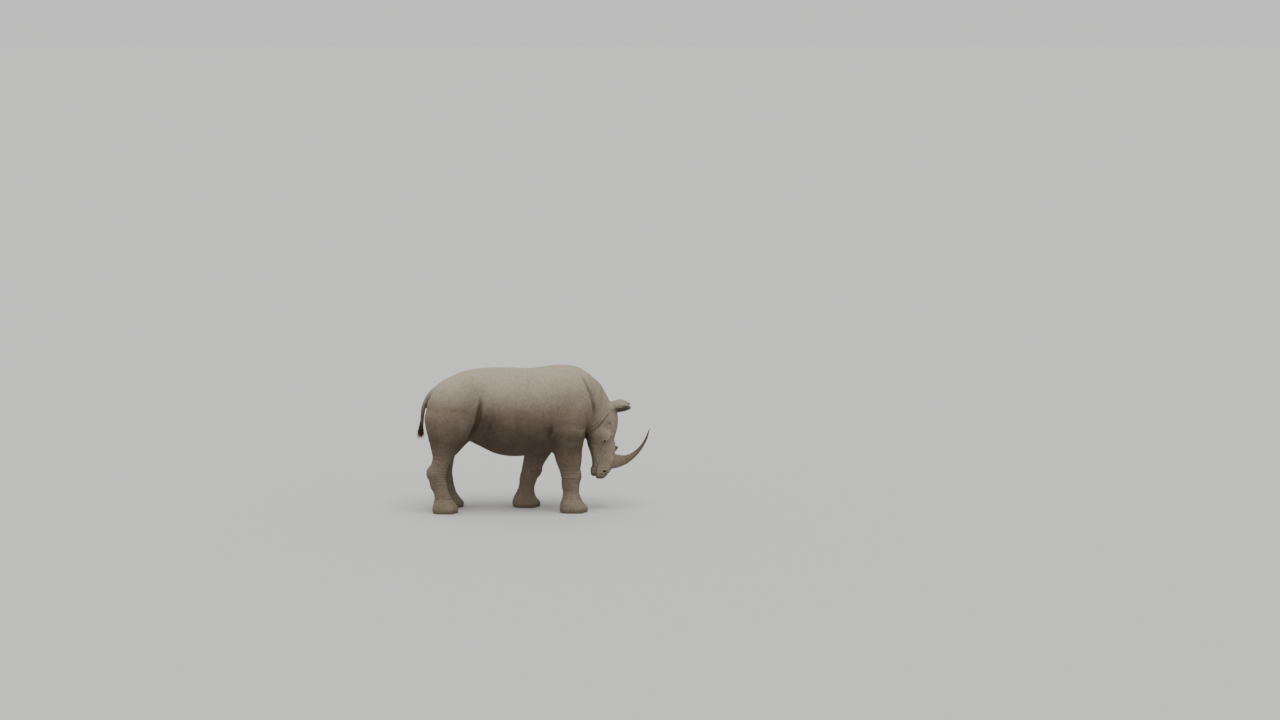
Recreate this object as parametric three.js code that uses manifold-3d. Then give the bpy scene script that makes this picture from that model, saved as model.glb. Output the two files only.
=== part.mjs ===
// A white rhinoceros cow at life size, standing in mid stride with her head lowered to graze.
// Millimetres, +Z up. She faces -Y, and her left side is +X. The soles rest on Z = 0.
//
// The body is one smooth field, negative inside, made of tapering lofts (trunk, neck, head, legs, tail)
// and rounded muscle masses that melt into each other. It is polygonised zone by zone, each zone as
// finely as its shape needs, and parted into named pieces with thin cuts. Horns, eyes and nails are
// pieces of their own that sit in the body.

import * as THREE from "three";
import { mergeVertices } from "three/addons/utils/BufferGeometryUtils.js";
import Module from "manifold-3d";

const wasm = await Module();
wasm.setup();

// ---------------------------------------------------------------- driving dimensions

const CELLS = { trunk: [100, 120, 92], neck: 80, head: 52, leg: 80 }; // how finely each zone is meshed
const GAP = 0.6; // free space left by each cut
const CRUMB = 0.3; // shorter edges than this are closed up
const HEAD_LENGTH = 930; // poll to lips
const HEAD_PITCH = 92; // degrees that the head points below the horizon
const NECK_PITCH = 23;
const POLL = { forward: 1081, height: 1300 }; // where the line of the face meets the top of the head
const NECK_ROOT = { forward: 480, height: 1300 };
const FACE_CUT = { forward: 950, height: 1200 };
const FACE_FACING = [0.857, -0.518];
const SHOULDER_CUT = { forward: 676, height: 1200 };
const SHOULDER_FACING = [0.991, 0.132];
const MUZZLE_CUT = 615; // below the poll
const EYE = { radius: 20, out: 146, forward: 948, height: 815 };
const EAR = {
  root: [96, 1012, 1168], // out, forward, up
  tip: [158, 1244, 1212],
  opens: [0.62, 0.1, -0.78],
  thick: 10,
  sag: 14, // how far its middle bows away from the opening
};
const NAIL_SIZE = { thick: 22, half: 50, tall: 40, inset: 10, lift: 3 }; // lift: clear of the floor
const NAIL_SPREAD = 52; // degrees from the middle toe to the outer ones
const KNEE = 470; // where each leg parts into an upper and a lower piece
const ANKLE = 165;
const LEG_REACH = { out: 280, forward: 340, top: { foreleg: 1000, hindleg: 1240 } }; // from its bone line
const SIDES = { right: -1, left: 1 };

// Where each leg's bone line runs: height, then how far forward and how far out from the middle.
const STANCE = {
  foreleg_right: [
    [0, 575, 222],
    [230, 568, 226],
    [410, 566, 236],
    [600, 558, 250],
    [740, 535, 262],
    [1050, 520, 280],
  ],
  foreleg_left: [
    [0, 30, 222],
    [130, 34, 224],
    [410, 110, 236],
    [600, 196, 250],
    [740, 268, 262],
    [1050, 420, 280],
  ],
  hindleg_right: [
    [0, -905, 232],
    [150, -905, 236],
    [340, -955, 244],
    [450, -978, 248],
    [545, -952, 250],
    [640, -915, 254],
    [740, -868, 258],
    [880, -835, 256],
    [1200, -800, 225],
  ],
  hindleg_left: [
    [0, -850, 232],
    [150, -855, 236],
    [340, -892, 244],
    [450, -912, 248],
    [545, -895, 250],
    [640, -876, 254],
    [740, -845, 258],
    [880, -822, 256],
    [1200, -798, 225],
  ],
};

// ---------------------------------------------------------------- curves through stations

const SAMPLES = 256;

// A smooth curve through rows of [position, values...], sampled evenly so that a lookup is quick.
function track(rows) {
  const low = rows[0][0];
  const high = rows.at(-1)[0];
  const slope = (i, c) => {
    const a = rows[Math.max(i - 1, 0)];
    const b = rows[Math.min(i + 1, rows.length - 1)];
    return (b[c] - a[c]) / (b[0] - a[0]);
  };
  const sampled = [];
  let i = 0;
  for (let n = 0; n <= SAMPLES; n++) {
    const at = low + ((high - low) * n) / SAMPLES;
    while (i < rows.length - 2 && at > rows[i + 1][0]) i++;
    const [p, q] = [rows[i], rows[i + 1]];
    const span = q[0] - p[0];
    const t = (at - p[0]) / span;
    sampled.push(
      p.slice(1).map((_, k) => {
        const c = k + 1;
        const h = t * t * (3 - 2 * t);
        return (
          p[c] * (1 - h) +
          q[c] * h +
          span * t * (1 - t) * ((1 - t) * slope(i, c) - t * slope(i + 1, c))
        );
      }),
    );
  }
  const look = (at) => {
    const n = (THREE.MathUtils.clamp(at, low, high) - low) / (high - low);
    const j = Math.min(Math.floor(n * SAMPLES), SAMPLES - 1);
    const t = n * SAMPLES - j;
    return sampled[j].map((v, k) => v + t * (sampled[j + 1][k] - v));
  };
  return { low, high, look };
}

// ---------------------------------------------------------------- fields: x out, f forward, z up

// The two distances join with a fillet of about this radius.
const melt = (a, b, radius) => {
  const h = Math.max(radius - Math.abs(a - b), 0) / radius;
  return Math.min(a, b) - (h * h * radius) / 4;
};

// What lies inside both, with the edge between them rounded.
const cut = (a, b, radius) => -melt(-a, -b, radius);

// Distance to a rounded-square section that reaches wide to the sides, plus one way and minus the other.
function section(a, b, wide, plus, minus, squareness) {
  const tall = b > 0 ? plus : minus;
  const u = Math.abs(a) / wide;
  const v = Math.abs(b) / tall;
  const r = (u ** squareness + v ** squareness) ** (1 / squareness);
  const least = -Math.min(wide, tall);
  if (r < 1e-3) return least;
  const steep =
    Math.hypot(u ** (squareness - 1) / wide, v ** (squareness - 1) / tall) *
    r ** (1 - squareness);
  return Math.max((r - 1) / steep, least);
}

// A body along a straight line in the middle plane that points forward and `pitch` degrees down.
// Rows: distance along, half width, top, bottom, height of the widest place, squareness.
// Its two ends are rounded off by `rounding`.
function loft(start, pitch, rows, rounding) {
  const { low, high, look } = track(rows);
  const c = Math.cos(THREE.MathUtils.degToRad(pitch));
  const s = Math.sin(THREE.MathUtils.degToRad(pitch));
  return (x, f, z) => {
    const df = f - start.forward;
    const dz = z - start.height;
    const along = df * c - dz * s;
    const up = df * s + dz * c;
    const [wide, top, bottom, widest, squareness] = look(along);
    const d = section(
      x,
      up - widest,
      wide,
      top - widest,
      widest - bottom,
      squareness,
    );
    return cut(cut(d, low - along, rounding), along - high, rounding);
  };
}

// A leg: rows are height, half width, reach forward, reach back and squareness, about its bone line.
function leg(name, rows) {
  const { low, high, look } = track(rows);
  const bone = track(STANCE[name]);
  const side = SIDES[name.split("_")[1]];
  return (x, f, z) => {
    const [forward, out] = bone.look(z);
    const [wide, front, back, squareness] = look(z);
    const d = section(
      x - side * out,
      f - forward,
      wide,
      front,
      back,
      squareness,
    );
    return Math.max(d, low - z, z - high);
  };
}

// An ellipsoid: centre and radii as [out, forward, up], its top leaning back by `lean` degrees.
function mass([cx, cf, cz], [rx, rf, rz], lean = 0) {
  const c = Math.cos(THREE.MathUtils.degToRad(lean));
  const s = Math.sin(THREE.MathUtils.degToRad(lean));
  return (x, f, z) => {
    const dx = x - cx;
    const df = (f - cf) * c + (z - cz) * s;
    const dz = (z - cz) * c - (f - cf) * s;
    const k = Math.hypot(dx / rx, df / rf, dz / rz);
    const g = Math.hypot(dx / rx ** 2, df / rf ** 2, dz / rz ** 2);
    return g ? (k * (k - 1)) / g : -Math.min(rx, rf, rz);
  };
}

// The same mass on both sides.
const pair = (centre, radii, lean) => {
  const one = mass(centre, radii, lean);
  return (x, f, z) => one(Math.abs(x), f, z);
};

// ---------------------------------------------------------------- the animal's masses

// Rows: forward, half width, top, bottom, height of the widest place, squareness.
const TRUNK = [
  [-985, 105, 1320, 1060, 1220, 2],
  [-935, 200, 1400, 960, 1230, 2],
  [-850, 285, 1515, 880, 1235, 2.1],
  [-700, 360, 1602, 850, 1220, 2.15],
  [-500, 420, 1642, 758, 1185, 2.2],
  [-300, 460, 1655, 662, 1150, 2.2],
  [-100, 478, 1650, 630, 1130, 2.2],
  [100, 472, 1644, 644, 1130, 2.2],
  [300, 446, 1636, 682, 1150, 2.2],
  [480, 405, 1620, 735, 1180, 2.15],
  [620, 345, 1560, 835, 1200, 2.1],
  [730, 265, 1480, 990, 1215, 2],
  [820, 180, 1360, 1110, 1230, 2],
];

// Rows: distance from the shoulders, half width, top, bottom, height of the widest place, squareness.
const NECK = [
  [-60, 300, 350, -380, 0, 2.1],
  [60, 310, 368, -390, 0, 2.1],
  [190, 290, 358, -350, 0, 2.1],
  [340, 248, 306, -252, 10, 2.1],
  [456, 208, 222, -190, 10, 2.1],
  [560, 172, 130, -140, 0, 2],
];

// Rows: distance below the poll, half width, face, jaw, depth of the widest place, squareness.
const HEAD = [
  [40, 80, -110, -200, -150, 2],
  [80, 130, -58, -250, -150, 2.2],
  [140, 158, 4, -278, -150, 2.4],
  [210, 168, 32, -296, -155, 2.5],
  [310, 166, 34, -302, -160, 2.6],
  [400, 166, 22, -310, -155, 2.6],
  [480, 158, 8, -310, -150, 2.6],
  [560, 138, 8, -300, -150, 2.6],
  [650, 121, 6, -266, -148, 2.7],
  [740, 116, 6, -244, -145, 2.8],
  [820, 122, -16, -240, -145, 2.9],
  [880, 128, -50, -228, -148, 3],
  [915, 119, -80, -210, -148, 3],
  [HEAD_LENGTH, 98, -106, -192, -148, 3],
];

// Rows: height, half width, reach forward, reach back, squareness.
const FORELEG = [
  [0, 122, 140, 130, 2.4],
  [45, 138, 156, 140, 2.5],
  [105, 131, 138, 130, 2.5],
  [165, 108, 108, 108, 2.3],
  [240, 92, 92, 96, 2.2],
  [330, 96, 100, 102, 2.1],
  [410, 105, 112, 116, 2.1],
  [500, 108, 112, 138, 2.1],
  [600, 124, 132, 166, 2.1],
  [720, 140, 158, 178, 2.1],
  [850, 140, 185, 192, 2.1],
  [960, 118, 165, 165, 2],
  [1040, 60, 80, 80, 2],
];

const HINDLEG = [
  [0, 110, 130, 118, 2.4],
  [45, 126, 146, 128, 2.5],
  [105, 118, 128, 118, 2.5],
  [165, 96, 98, 98, 2.3],
  [250, 84, 86, 92, 2.2],
  [340, 86, 90, 100, 2.2],
  [450, 94, 104, 106, 2.1],
  [545, 94, 104, 98, 2.1],
  [640, 108, 116, 108, 2.1],
  [740, 146, 172, 168, 2.1],
  [880, 172, 262, 236, 2.1],
  [1020, 180, 286, 268, 2.1],
  [1130, 160, 250, 270, 2],
  [1230, 90, 130, 160, 2],
];

// The tail hangs behind the rump: forward and up along its middle.
const TAIL_LINE = [
  [-900, 1400],
  [-992, 1384],
  [-1068, 1322],
  [-1120, 1222],
  [-1142, 1120],
  [-1148, 1040],
  [-1150, 972],
];
const TAIL_RADIUS = track([
  [0, 66],
  [0.14, 52],
  [0.3, 36],
  [0.55, 26],
  [0.85, 20],
  [1, 17],
]);
const TUFT_LENGTH = 150;

const trunk = loft({ forward: 0, height: 0 }, 0, TRUNK, 1);
const neck = loft(NECK_ROOT, NECK_PITCH, NECK, 110);
const skull = loft(POLL, HEAD_PITCH, HEAD, 40);

// Muscle masses on the trunk: field, and how softly it melts in.
const MUSCLES = [
  [mass([0, 455, 1445], [190, 310, 225]), 140], // nuchal hump
  [pair([262, 470, 1240], [136, 215, 350], 14), 110], // shoulder blade
  [pair([240, 600, 1040], [120, 125, 200], 0), 110], // point of the shoulder
  [mass([0, 570, 880], [150, 160, 130]), 110], // brisket
  [pair([236, -560, 1440], [130, 160, 140]), 130], // hip bone
  [pair([200, -788, 1258], [205, 268, 250]), 120], // rump
  [pair([190, -905, 1080], [170, 185, 230]), 110], // buttock
  [mass([0, -925, 1190], [100, 172, 190]), 60], // under the tail
];

// Masses on the head, in its own frame: out, towards the face, towards the poll.
const headMass = (along, out, face, radii, lean) => {
  const [f, z] = onHead(along, face);
  return pair([out, f, z], radii, lean);
};

// Forward and height of a point this far below the poll and this far in front of the face line.
function onHead(along, face) {
  const p = THREE.MathUtils.degToRad(HEAD_PITCH);
  return [
    POLL.forward + along * Math.cos(p) + face * Math.sin(p),
    POLL.height - along * Math.sin(p) + face * Math.cos(p),
  ];
}

const HEAD_MASSES = [
  [headMass(122, 94, -58, [58, 60, 58]), 50], // ear bases
  [headMass(265, 84, -30, [70, 52, 150]), 60], // temples
  [headMass(350, 92, -215, [74, 86, 140]), 60], // jaw muscle
  [headMass(425, 122, -105, [52, 62, 78]), 40], // brow and cheekbone
  [headMass(585, 0, -42, [88, 60, 82]), 40], // rear horn boss
  [headMass(730, 0, -62, [110, 78, 108]), 40], // front horn boss
  [headMass(815, 82, -92, [46, 58, 62]), 30], // nostril
  [headMass(880, 70, -150, [66, 70, 46]), 30], // upper lip
];

const LEGS = {
  foreleg_right: leg("foreleg_right", FORELEG),
  foreleg_left: leg("foreleg_left", FORELEG),
  hindleg_right: leg("hindleg_right", HINDLEG),
  hindleg_left: leg("hindleg_left", HINDLEG),
};

function headField(x, f, z) {
  let d = skull(x, f, z);
  for (const [piece, radius] of HEAD_MASSES) d = melt(d, piece(x, f, z), radius);
  return d;
}

function bodyField(x, f, z) {
  let d = trunk(x, f, z);
  for (const [piece, radius] of MUSCLES) d = melt(d, piece(x, f, z), radius);
  d = melt(d, neck(x, f, z), 120);
  d = melt(d, headField(x, f, z), 70);
  for (const piece of Object.values(LEGS)) d = melt(d, piece(x, f, z), 90);
  return Math.max(d, -z);
}

// ---------------------------------------------------------------- polygonising

const CORNERS = [0, 1, 2, 3, 4, 5, 6, 7].map((n) => [n & 1, (n >> 1) & 1, n >> 2]);
const EDGES = CORNERS.flatMap((_, n) =>
  [1, 2, 4].filter((bit) => !(n & bit)).map((bit) => [n, n | bit]),
);

const AROUND = [
  [0, 0],
  [1, 0],
  [1, 1],
  [0, 1],
];
const apart = (p, q) => Math.hypot(p[0] - q[0], p[1] - q[1], p[2] - q[2]);

// The closed surface of a field inside a box, by surface nets: one point in each cell that the surface
// crosses, moved onto the surface, and a quad round each crossed edge. Y runs backwards.
function surface(field, low, high, cell) {
  const at = (x, y, z) => field(x, -y, z);
  const count = low.map((v, k) => Math.ceil((high[k] - v) / cell[k]));
  const size = count.map((n) => n + 1);
  const index = (i, j, k) => i + size[0] * (j + size[1] * k);
  const value = new Float32Array(size[0] * size[1] * size[2]);
  for (let k = 0; k < size[2]; k++)
    for (let j = 0; j < size[1]; j++)
      for (let i = 0; i < size[0]; i++) {
        const edge = [i, j, k].some((n, a) => n === 0 || n === count[a]);
        const p = [i, j, k].map((n, a) => low[a] + n * cell[a]);
        const v = at(...p);
        value[index(i, j, k)] = edge ? Math.max(v, cell[0] / 2) : v;
      }

  partTouching(value, size, index);

  const points = [];
  const pointOf = new Map();
  for (let k = 0; k < count[2]; k++)
    for (let j = 0; j < count[1]; j++)
      for (let i = 0; i < count[0]; i++) {
        const v = CORNERS.map(([a, b, c]) => value[index(i + a, j + b, k + c)]);
        const crossed = EDGES.filter(([a, b]) => v[a] < 0 !== v[b] < 0);
        if (!crossed.length) continue;
        const sum = [0, 0, 0];
        for (const [a, b] of crossed) {
          const t = v[a] / (v[a] - v[b]);
          for (let n = 0; n < 3; n++)
            sum[n] += CORNERS[a][n] + t * (CORNERS[b][n] - CORNERS[a][n]);
        }
        const p = [i, j, k].map(
          (n, a) => low[a] + (n + sum[a] / crossed.length) * cell[a],
        );
        pointOf.set(index(i, j, k), points.length);
        points.push(onto(at, p, cell));
      }

  const triangles = [];
  for (let axis = 0; axis < 3; axis++) {
    const [u, v] = [(axis + 1) % 3, (axis + 2) % 3];
    for (let k = 0; k < count[2]; k++)
      for (let j = 0; j < count[1]; j++)
        for (let i = 0; i < count[0]; i++) {
          const here = [i, j, k];
          const next = here.map((n, a) => n + (a === axis));
          const inside = value[index(...here)] < 0;
          if (inside === value[index(...next)] < 0) continue;
          const quad = AROUND.map(([p, q]) => {
            const at = [...here];
            at[u] -= p;
            at[v] -= q;
            return pointOf.get(index(...at));
          });
          if (!inside) quad.reverse();
          const [a, b, c, d] = quad;
          if (apart(points[a], points[c]) < apart(points[b], points[d]))
            triangles.push([a, b, c], [a, c, d]);
          else triangles.push([a, b, d], [b, c, d]);
        }
  }
  return { points, triangles };
}

// Where a square of samples is inside at two opposite corners only, two parts of the surface would
// touch along an edge. The shallower of the two corners is put outside until none is left.
function partTouching(value, size, index) {
  for (let found = true; found; ) {
    found = false;
    for (let axis = 0; axis < 3; axis++) {
      const [u, v] = [(axis + 1) % 3, (axis + 2) % 3];
      for (let k = 0; k < size[2]; k++)
        for (let j = 0; j < size[1]; j++)
          for (let i = 0; i < size[0]; i++) {
            const here = [i, j, k];
            if (here[u] + 1 === size[u] || here[v] + 1 === size[v]) continue;
            const [a, b, c, d] = AROUND.map(([p, q]) => {
              const at = [...here];
              at[u] += p;
              at[v] += q;
              return index(...at);
            });
            const isIn = [a, b, c, d].map((n) => value[n] < 0);
            if (isIn[0] !== isIn[2] || isIn[1] !== isIn[3] || isIn[0] === isIn[1]) continue;
            const [p, q] = isIn[0] ? [a, c] : [b, d];
            value[value[p] > value[q] ? p : q] = 1;
            found = true;
          }
    }
  }
}

// Moves a point onto the surface by a few Newton steps, unless that takes it out of its own cell.
function onto(at, start, cell) {
  const most = Math.min(...cell) * 0.4;
  const probe = 1.5;
  let p = start;
  for (let n = 0; n < 4; n++) {
    const d = at(...p);
    const slope = [0, 1, 2].map((a) => {
      const [q, r] = [[...p], [...p]];
      q[a] += probe;
      r[a] -= probe;
      return (at(...q) - at(...r)) / (2 * probe);
    });
    const square = slope[0] ** 2 + slope[1] ** 2 + slope[2] ** 2;
    if (square < 1e-4) return start;
    p = p.map((v, a) => v - (d * slope[a]) / square);
    if (Math.hypot(...p.map((v, a) => v - start[a])) > most) return start;
  }
  return p;
}

// ---------------------------------------------------------------- solids

function solidOf({ points, triangles }) {
  return new wasm.Manifold(
    new wasm.Mesh({
      numProp: 3,
      vertProperties: new Float32Array(points.flat()),
      triVerts: new Uint32Array(triangles.flat()),
    }),
  );
}

// The body inside a box: [out, forward, up] corners, and the cell size.
function zone(low, high, cell) {
  const cells = Array.isArray(cell) ? cell : [cell, cell, cell];
  const box = [
    [low[0], -high[1], low[2]],
    [high[0], -low[1], high[2]],
  ];
  return solidOf(surface(bodyField, ...box, cells));
}

// A tube through rings of [out, forward, up] points, closed by its two end rings.
function skinOver(rings) {
  const points = rings.flat().map(([x, f, z]) => [x, -f, z]);
  const n = rings[0].length;
  const triangles = [];
  for (let k = 0; k + 1 < rings.length; k++)
    for (let i = 0; i < n; i++) {
      const [a, b] = [k * n + i, k * n + ((i + 1) % n)];
      triangles.push([a, b, b + n], [a, b + n, a + n]);
    }
  for (const [k, turn] of [
    [0, 1],
    [rings.length - 1, -1],
  ]) {
    const middle = points.length;
    const ring = rings[k].map(([x, f, z]) => [x, -f, z]);
    points.push([0, 1, 2].map((a) => ring.reduce((t, p) => t + p[a], 0) / n));
    for (let i = 0; i < n; i++) {
      const edge = [k * n + ((i + 1) % n), k * n + i];
      if (turn < 0) edge.reverse();
      triangles.push([middle, ...edge]);
    }
  }
  const solid = solidOf({ points, triangles });
  return solid.volume() > 0 ? solid : solidOf({ points, triangles: triangles.map(flip) });
}
const flip = ([a, b, c]) => [a, c, b];

// An ellipsoid at [out, forward, up], turned about the vertical by `turn` degrees.
function ball([x, f, z], radii, detail, turn = 0) {
  const geometry = new THREE.IcosahedronGeometry(1, detail);
  geometry.scale(...radii);
  geometry.rotateZ(THREE.MathUtils.degToRad(turn));
  geometry.translate(x, -f, z);
  return solidOfGeometry(geometry);
}

function solidOfGeometry(geometry) {
  geometry.deleteAttribute("normal");
  geometry.deleteAttribute("uv");
  const { attributes, index } = mergeVertices(geometry, 1e-3);
  return new wasm.Manifold(
    new wasm.Mesh({
      numProp: 3,
      vertProperties: new Float32Array(attributes.position.array),
      triVerts: new Uint32Array(index.array),
    }),
  );
}

// A tapering bar round a smooth line of [forward, up], `grow` thicker and longer at its root.
function sweep({ line, radius, rings, sides, flatness = 1 }, grow = 0) {
  const curve = new THREE.CatmullRomCurve3(
    line.map(([f, z]) => new THREE.Vector3(0, f, z)),
    false,
    "centripetal",
  );
  const across = new THREE.Vector3(1, 0, 0);
  const loops = [];
  for (let k = 0; k <= rings; k++) {
    const t = k / rings;
    const along = curve.getTangentAt(t);
    const up = new THREE.Vector3().crossVectors(across, along);
    const middle = curve.getPointAt(t).addScaledVector(along, k ? 0 : -grow);
    const [r] = radius.look(t);
    const loop = [];
    for (let i = 0; i < sides; i++) {
      const a = (2 * Math.PI * i) / sides;
      loop.push(
        middle
          .clone()
          .addScaledVector(across, (r * flatness + grow) * Math.cos(a))
          .addScaledVector(up, (r + grow) * Math.sin(a))
          .toArray(),
      );
    }
    loops.push(loop);
  }
  return skinOver(loops);
}

// Keeps what lies beyond a plane through a point of the middle plane, facing forward and up as given.
function keep(solid, { forward, height }, [f, z]) {
  const size = Math.hypot(f, z);
  const offset = (f * forward + z * height) / size + GAP / 2;
  return solid.trimByPlane([0, -f / size, z / size], offset);
}

const above = (solid, height) => keep(solid, { forward: 0, height }, [0, 1]);
const below = (solid, height) => keep(solid, { forward: 0, height }, [0, -1]);

// ---------------------------------------------------------------- the model

const finish = (color, roughness) =>
  new THREE.MeshStandardMaterial({ color, roughness, metalness: 0 });
const HIDE = finish(0x8a7f70, 0.9);
const HORN = finish(0x6b5a44, 0.6);
const NAIL = finish(0x6f6455, 0.65);
const EYE_DARK = finish(0x1a1210, 0.1);
const HAIR = finish(0x2a221c, 0.8);

const model = new THREE.Group();

// A solid's points and triangles, with the crumbs that cutting leaves drawn together into one point.
function withoutCrumbs(solid) {
  const { numProp, vertProperties, triVerts } = solid.getMesh();
  const count = vertProperties.length / numProp;
  const points = [];
  for (let i = 0; i < count; i++)
    points.push([...vertProperties.subarray(i * numProp, i * numProp + 3)]);
  const into = points.map((_, i) => i);
  const settled = new Set();
  const sides = [];
  for (let i = 0; i < triVerts.length; i += 3) {
    const [a, b, c] = triVerts.subarray(i, i + 3);
    sides.push([a, b], [b, c], [c, a]);
  }
  for (const [a, b] of sides) {
    if (apart(points[a], points[b]) > CRUMB || settled.has(b) || into[a] !== a) continue;
    into[b] = a;
    settled.add(a).add(b);
  }

  const kept = new Map();
  for (let i = 0; i < triVerts.length; i += 3) {
    const triangle = [...triVerts.subarray(i, i + 3)].map((v) => into[v]);
    if (new Set(triangle).size < 3) continue;
    const key = triangle.toSorted((a, b) => a - b).join();
    if (kept.has(key)) kept.delete(key);
    else kept.set(key, triangle);
  }
  return { points, triangles: [...kept.values()] };
}

// Adds a solid as a named mesh, placed by its own middle.
function add(name, solid, material) {
  const { points, triangles } = withoutCrumbs(solid);
  const geometry = new THREE.BufferGeometry();
  geometry.setAttribute("position", new THREE.Float32BufferAttribute(points.flat(), 3));
  geometry.setIndex(triangles.flat());
  geometry.computeBoundingBox();
  const middle = geometry.boundingBox.getCenter(new THREE.Vector3()).round();
  geometry.translate(-middle.x, -middle.y, -middle.z);
  geometry.computeVertexNormals();
  const mesh = new THREE.Mesh(geometry, material);
  mesh.name = name;
  mesh.position.copy(middle);
  model.add(mesh);
}

// ---------------------------------------------------------------- trunk, neck and tail

// Where a leg parts from the trunk: a slanting roof between points of [out, up], and how far back and
// forward it reaches at the ground, moving forward by `lean` of the height.
const LEG_CUTS = {
  foreleg_right: { back: 390, front: 800, lean: -0.1, inner: [95, 665], outer: [480, 880] },
  foreleg_left: { back: -135, front: 320, lean: 0.24, inner: [110, 645], outer: [480, 860] },
  hindleg_right: { back: -1300, front: -500, lean: 0, inner: [80, 728], outer: [480, 1080] },
  hindleg_left: { back: -1300, front: -490, lean: 0, inner: [80, 728], outer: [480, 1080] },
};

// The room that a leg's piece takes up, `grow` bigger all round.
function legRoom(name, grow = 0) {
  const { back, front, lean, inner, outer } = LEG_CUTS[name];
  const side = SIDES[name.split("_")[1]];
  const outline = [
    [inner[0] - grow, -10],
    [outer[0] + 100, -10],
    [outer[0] + 100, outer[1] + grow],
    [outer[0], outer[1] + grow],
    [inner[0] - grow, inner[1] + grow],
  ];
  const end = (f) => outline.map(([out, z]) => [side * out, f + lean * z, z]);
  return skinOver([end(back - grow), end(front + grow)]);
}

function makeTrunk() {
  let solid = zone([-580, -1260, 520], [580, 900, 1840], CELLS.trunk);
  solid = keep(solid, SHOULDER_CUT, SHOULDER_FACING.map((v) => -v));
  for (const name of Object.keys(STANCE)) solid = solid.subtract(legRoom(name, GAP));
  return solid;
}

function makeNeck() {
  const solid = zone([-460, 470, 700], [460, 1260, 1860], CELLS.neck);
  return keep(keep(solid, SHOULDER_CUT, SHOULDER_FACING), FACE_CUT, FACE_FACING.map((v) => -v));
}

const TAIL = { line: TAIL_LINE, radius: TAIL_RADIUS, rings: 11, sides: 8 };

// The tuft hangs on below the tail, wider than it is thick.
const TUFT = {
  line: [
    [TAIL_LINE.at(-1)[0] - 0.2, TAIL_LINE.at(-1)[1] - 1.5],
    [TAIL_LINE.at(-1)[0] - 8, TAIL_LINE.at(-1)[1] - TUFT_LENGTH / 2],
    [TAIL_LINE.at(-1)[0] - 20, TAIL_LINE.at(-1)[1] - TUFT_LENGTH],
  ],
  radius: track([
    [0, 16],
    [0.35, 27],
    [0.75, 22],
    [1, 4],
  ]),
  rings: 5,
  sides: 8,
};

// ---------------------------------------------------------------- head

const FRONT_HORN = {
  line: [
    [1030, 556],
    [1100, 560],
    [1190, 573],
    [1276, 616],
    [1350, 682],
    [1404, 752],
    [1443, 826],
    [1480, 934],
  ],
  radius: track([
    [0, 84],
    [0.1, 80],
    [0.2, 62],
    [0.35, 41],
    [0.5, 28],
    [0.7, 18],
    [0.88, 11],
    [1, 4],
  ]),
  rings: 13,
  sides: 12,
  flatness: 0.9,
};

const REAR_HORN = {
  line: [
    [1030, 708],
    [1066, 710],
    [1092, 714],
    [1118, 720],
  ],
  radius: track([
    [0, 58],
    [0.35, 50],
    [0.6, 36],
    [0.85, 17],
    [1, 5],
  ]),
  rings: 5,
  sides: 12,
};

// How far along and across the ear its outline reaches: half width and depth.
const EAR_SHAPE = track([
  [0, 48, 46],
  [0.25, 56, 54],
  [0.5, 66, 56],
  [0.7, 63, 48],
  [0.88, 42, 31],
  [1, 10, 9],
]);
const EAR_WRAP = 2.15; // radians that the rim comes round from the back of the ear
const EAR_HOLLOW = [0.16, 0.5]; // where the closed tube has opened into a cup
const EAR_RINGS = 8;
const EAR_ARC = 6; // spans across the back, and again across the hollow

function makeEar(side, grow = 0) {
  const root = new THREE.Vector3(...EAR.root);
  const axis = new THREE.Vector3(...EAR.tip).sub(root);
  const along = axis.clone().normalize();
  const opens = new THREE.Vector3(...EAR.opens);
  opens.addScaledVector(along, -opens.dot(along)).normalize();
  const across = new THREE.Vector3().crossVectors(along, opens);
  const wrap = EAR_WRAP + grow / EAR_SHAPE.look(0)[1];
  const rings = [];
  for (let k = 0; k <= EAR_RINGS; k++) {
    const t = k / EAR_RINGS;
    const [wide, deep] = EAR_SHAPE.look(t).map((r) => r + grow);
    const open = THREE.MathUtils.smoothstep(t, ...EAR_HOLLOW);
    const middle = root.clone().addScaledVector(axis, t);
    middle.addScaledVector(opens, -EAR.sag * Math.sin(Math.PI * t));
    middle.addScaledVector(along, k ? 0 : -grow);
    const at = (angle, inset) => {
      const p = middle.clone();
      p.addScaledVector(across, Math.max(wide - inset, 1) * Math.sin(angle));
      return p.addScaledVector(opens, -Math.max(deep - inset, 1) * Math.cos(angle));
    };
    const ring = [];
    for (let i = 0; i <= EAR_ARC; i++) ring.push(at(wrap * ((2 * i) / EAR_ARC - 1), 0));
    for (let i = 1; i < EAR_ARC; i++) {
      const angle = wrap * (1 - (2 * i) / EAR_ARC);
      const shut = at(Math.PI - (angle / wrap) * (Math.PI - wrap), 0);
      ring.push(shut.lerp(at(angle, EAR.thick + 2 * grow), open));
    }
    rings.push(ring.map((p) => [side * p.x, p.y, p.z]));
  }
  return skinOver(rings);
}

const makeEye = (side, grow = 0) =>
  ball([side * EYE.out, EYE.forward, EYE.height], [1, 1, 1].map(() => EYE.radius + grow), 1);

// Keeps what lies beyond a point of the head, facing down the head and towards the face as given.
function keepHead(solid, along, face, [down, front]) {
  const [forward, height] = onHead(along, face);
  const p = THREE.MathUtils.degToRad(HEAD_PITCH);
  const facing = [
    down * Math.cos(p) + front * Math.sin(p),
    -down * Math.sin(p) + front * Math.cos(p),
  ];
  return keep(solid, { forward, height }, facing);
}

const MOUTH = { along: 800, face: -186, facing: [0.1, 0.995] };

function makeHead() {
  const solid = zone([-260, 560, 300], [260, 1320, 1500], CELLS.head);
  return keep(keep(solid, FACE_CUT, FACE_FACING), SHOULDER_CUT, SHOULDER_FACING);
}

// ---------------------------------------------------------------- assembly

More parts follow.
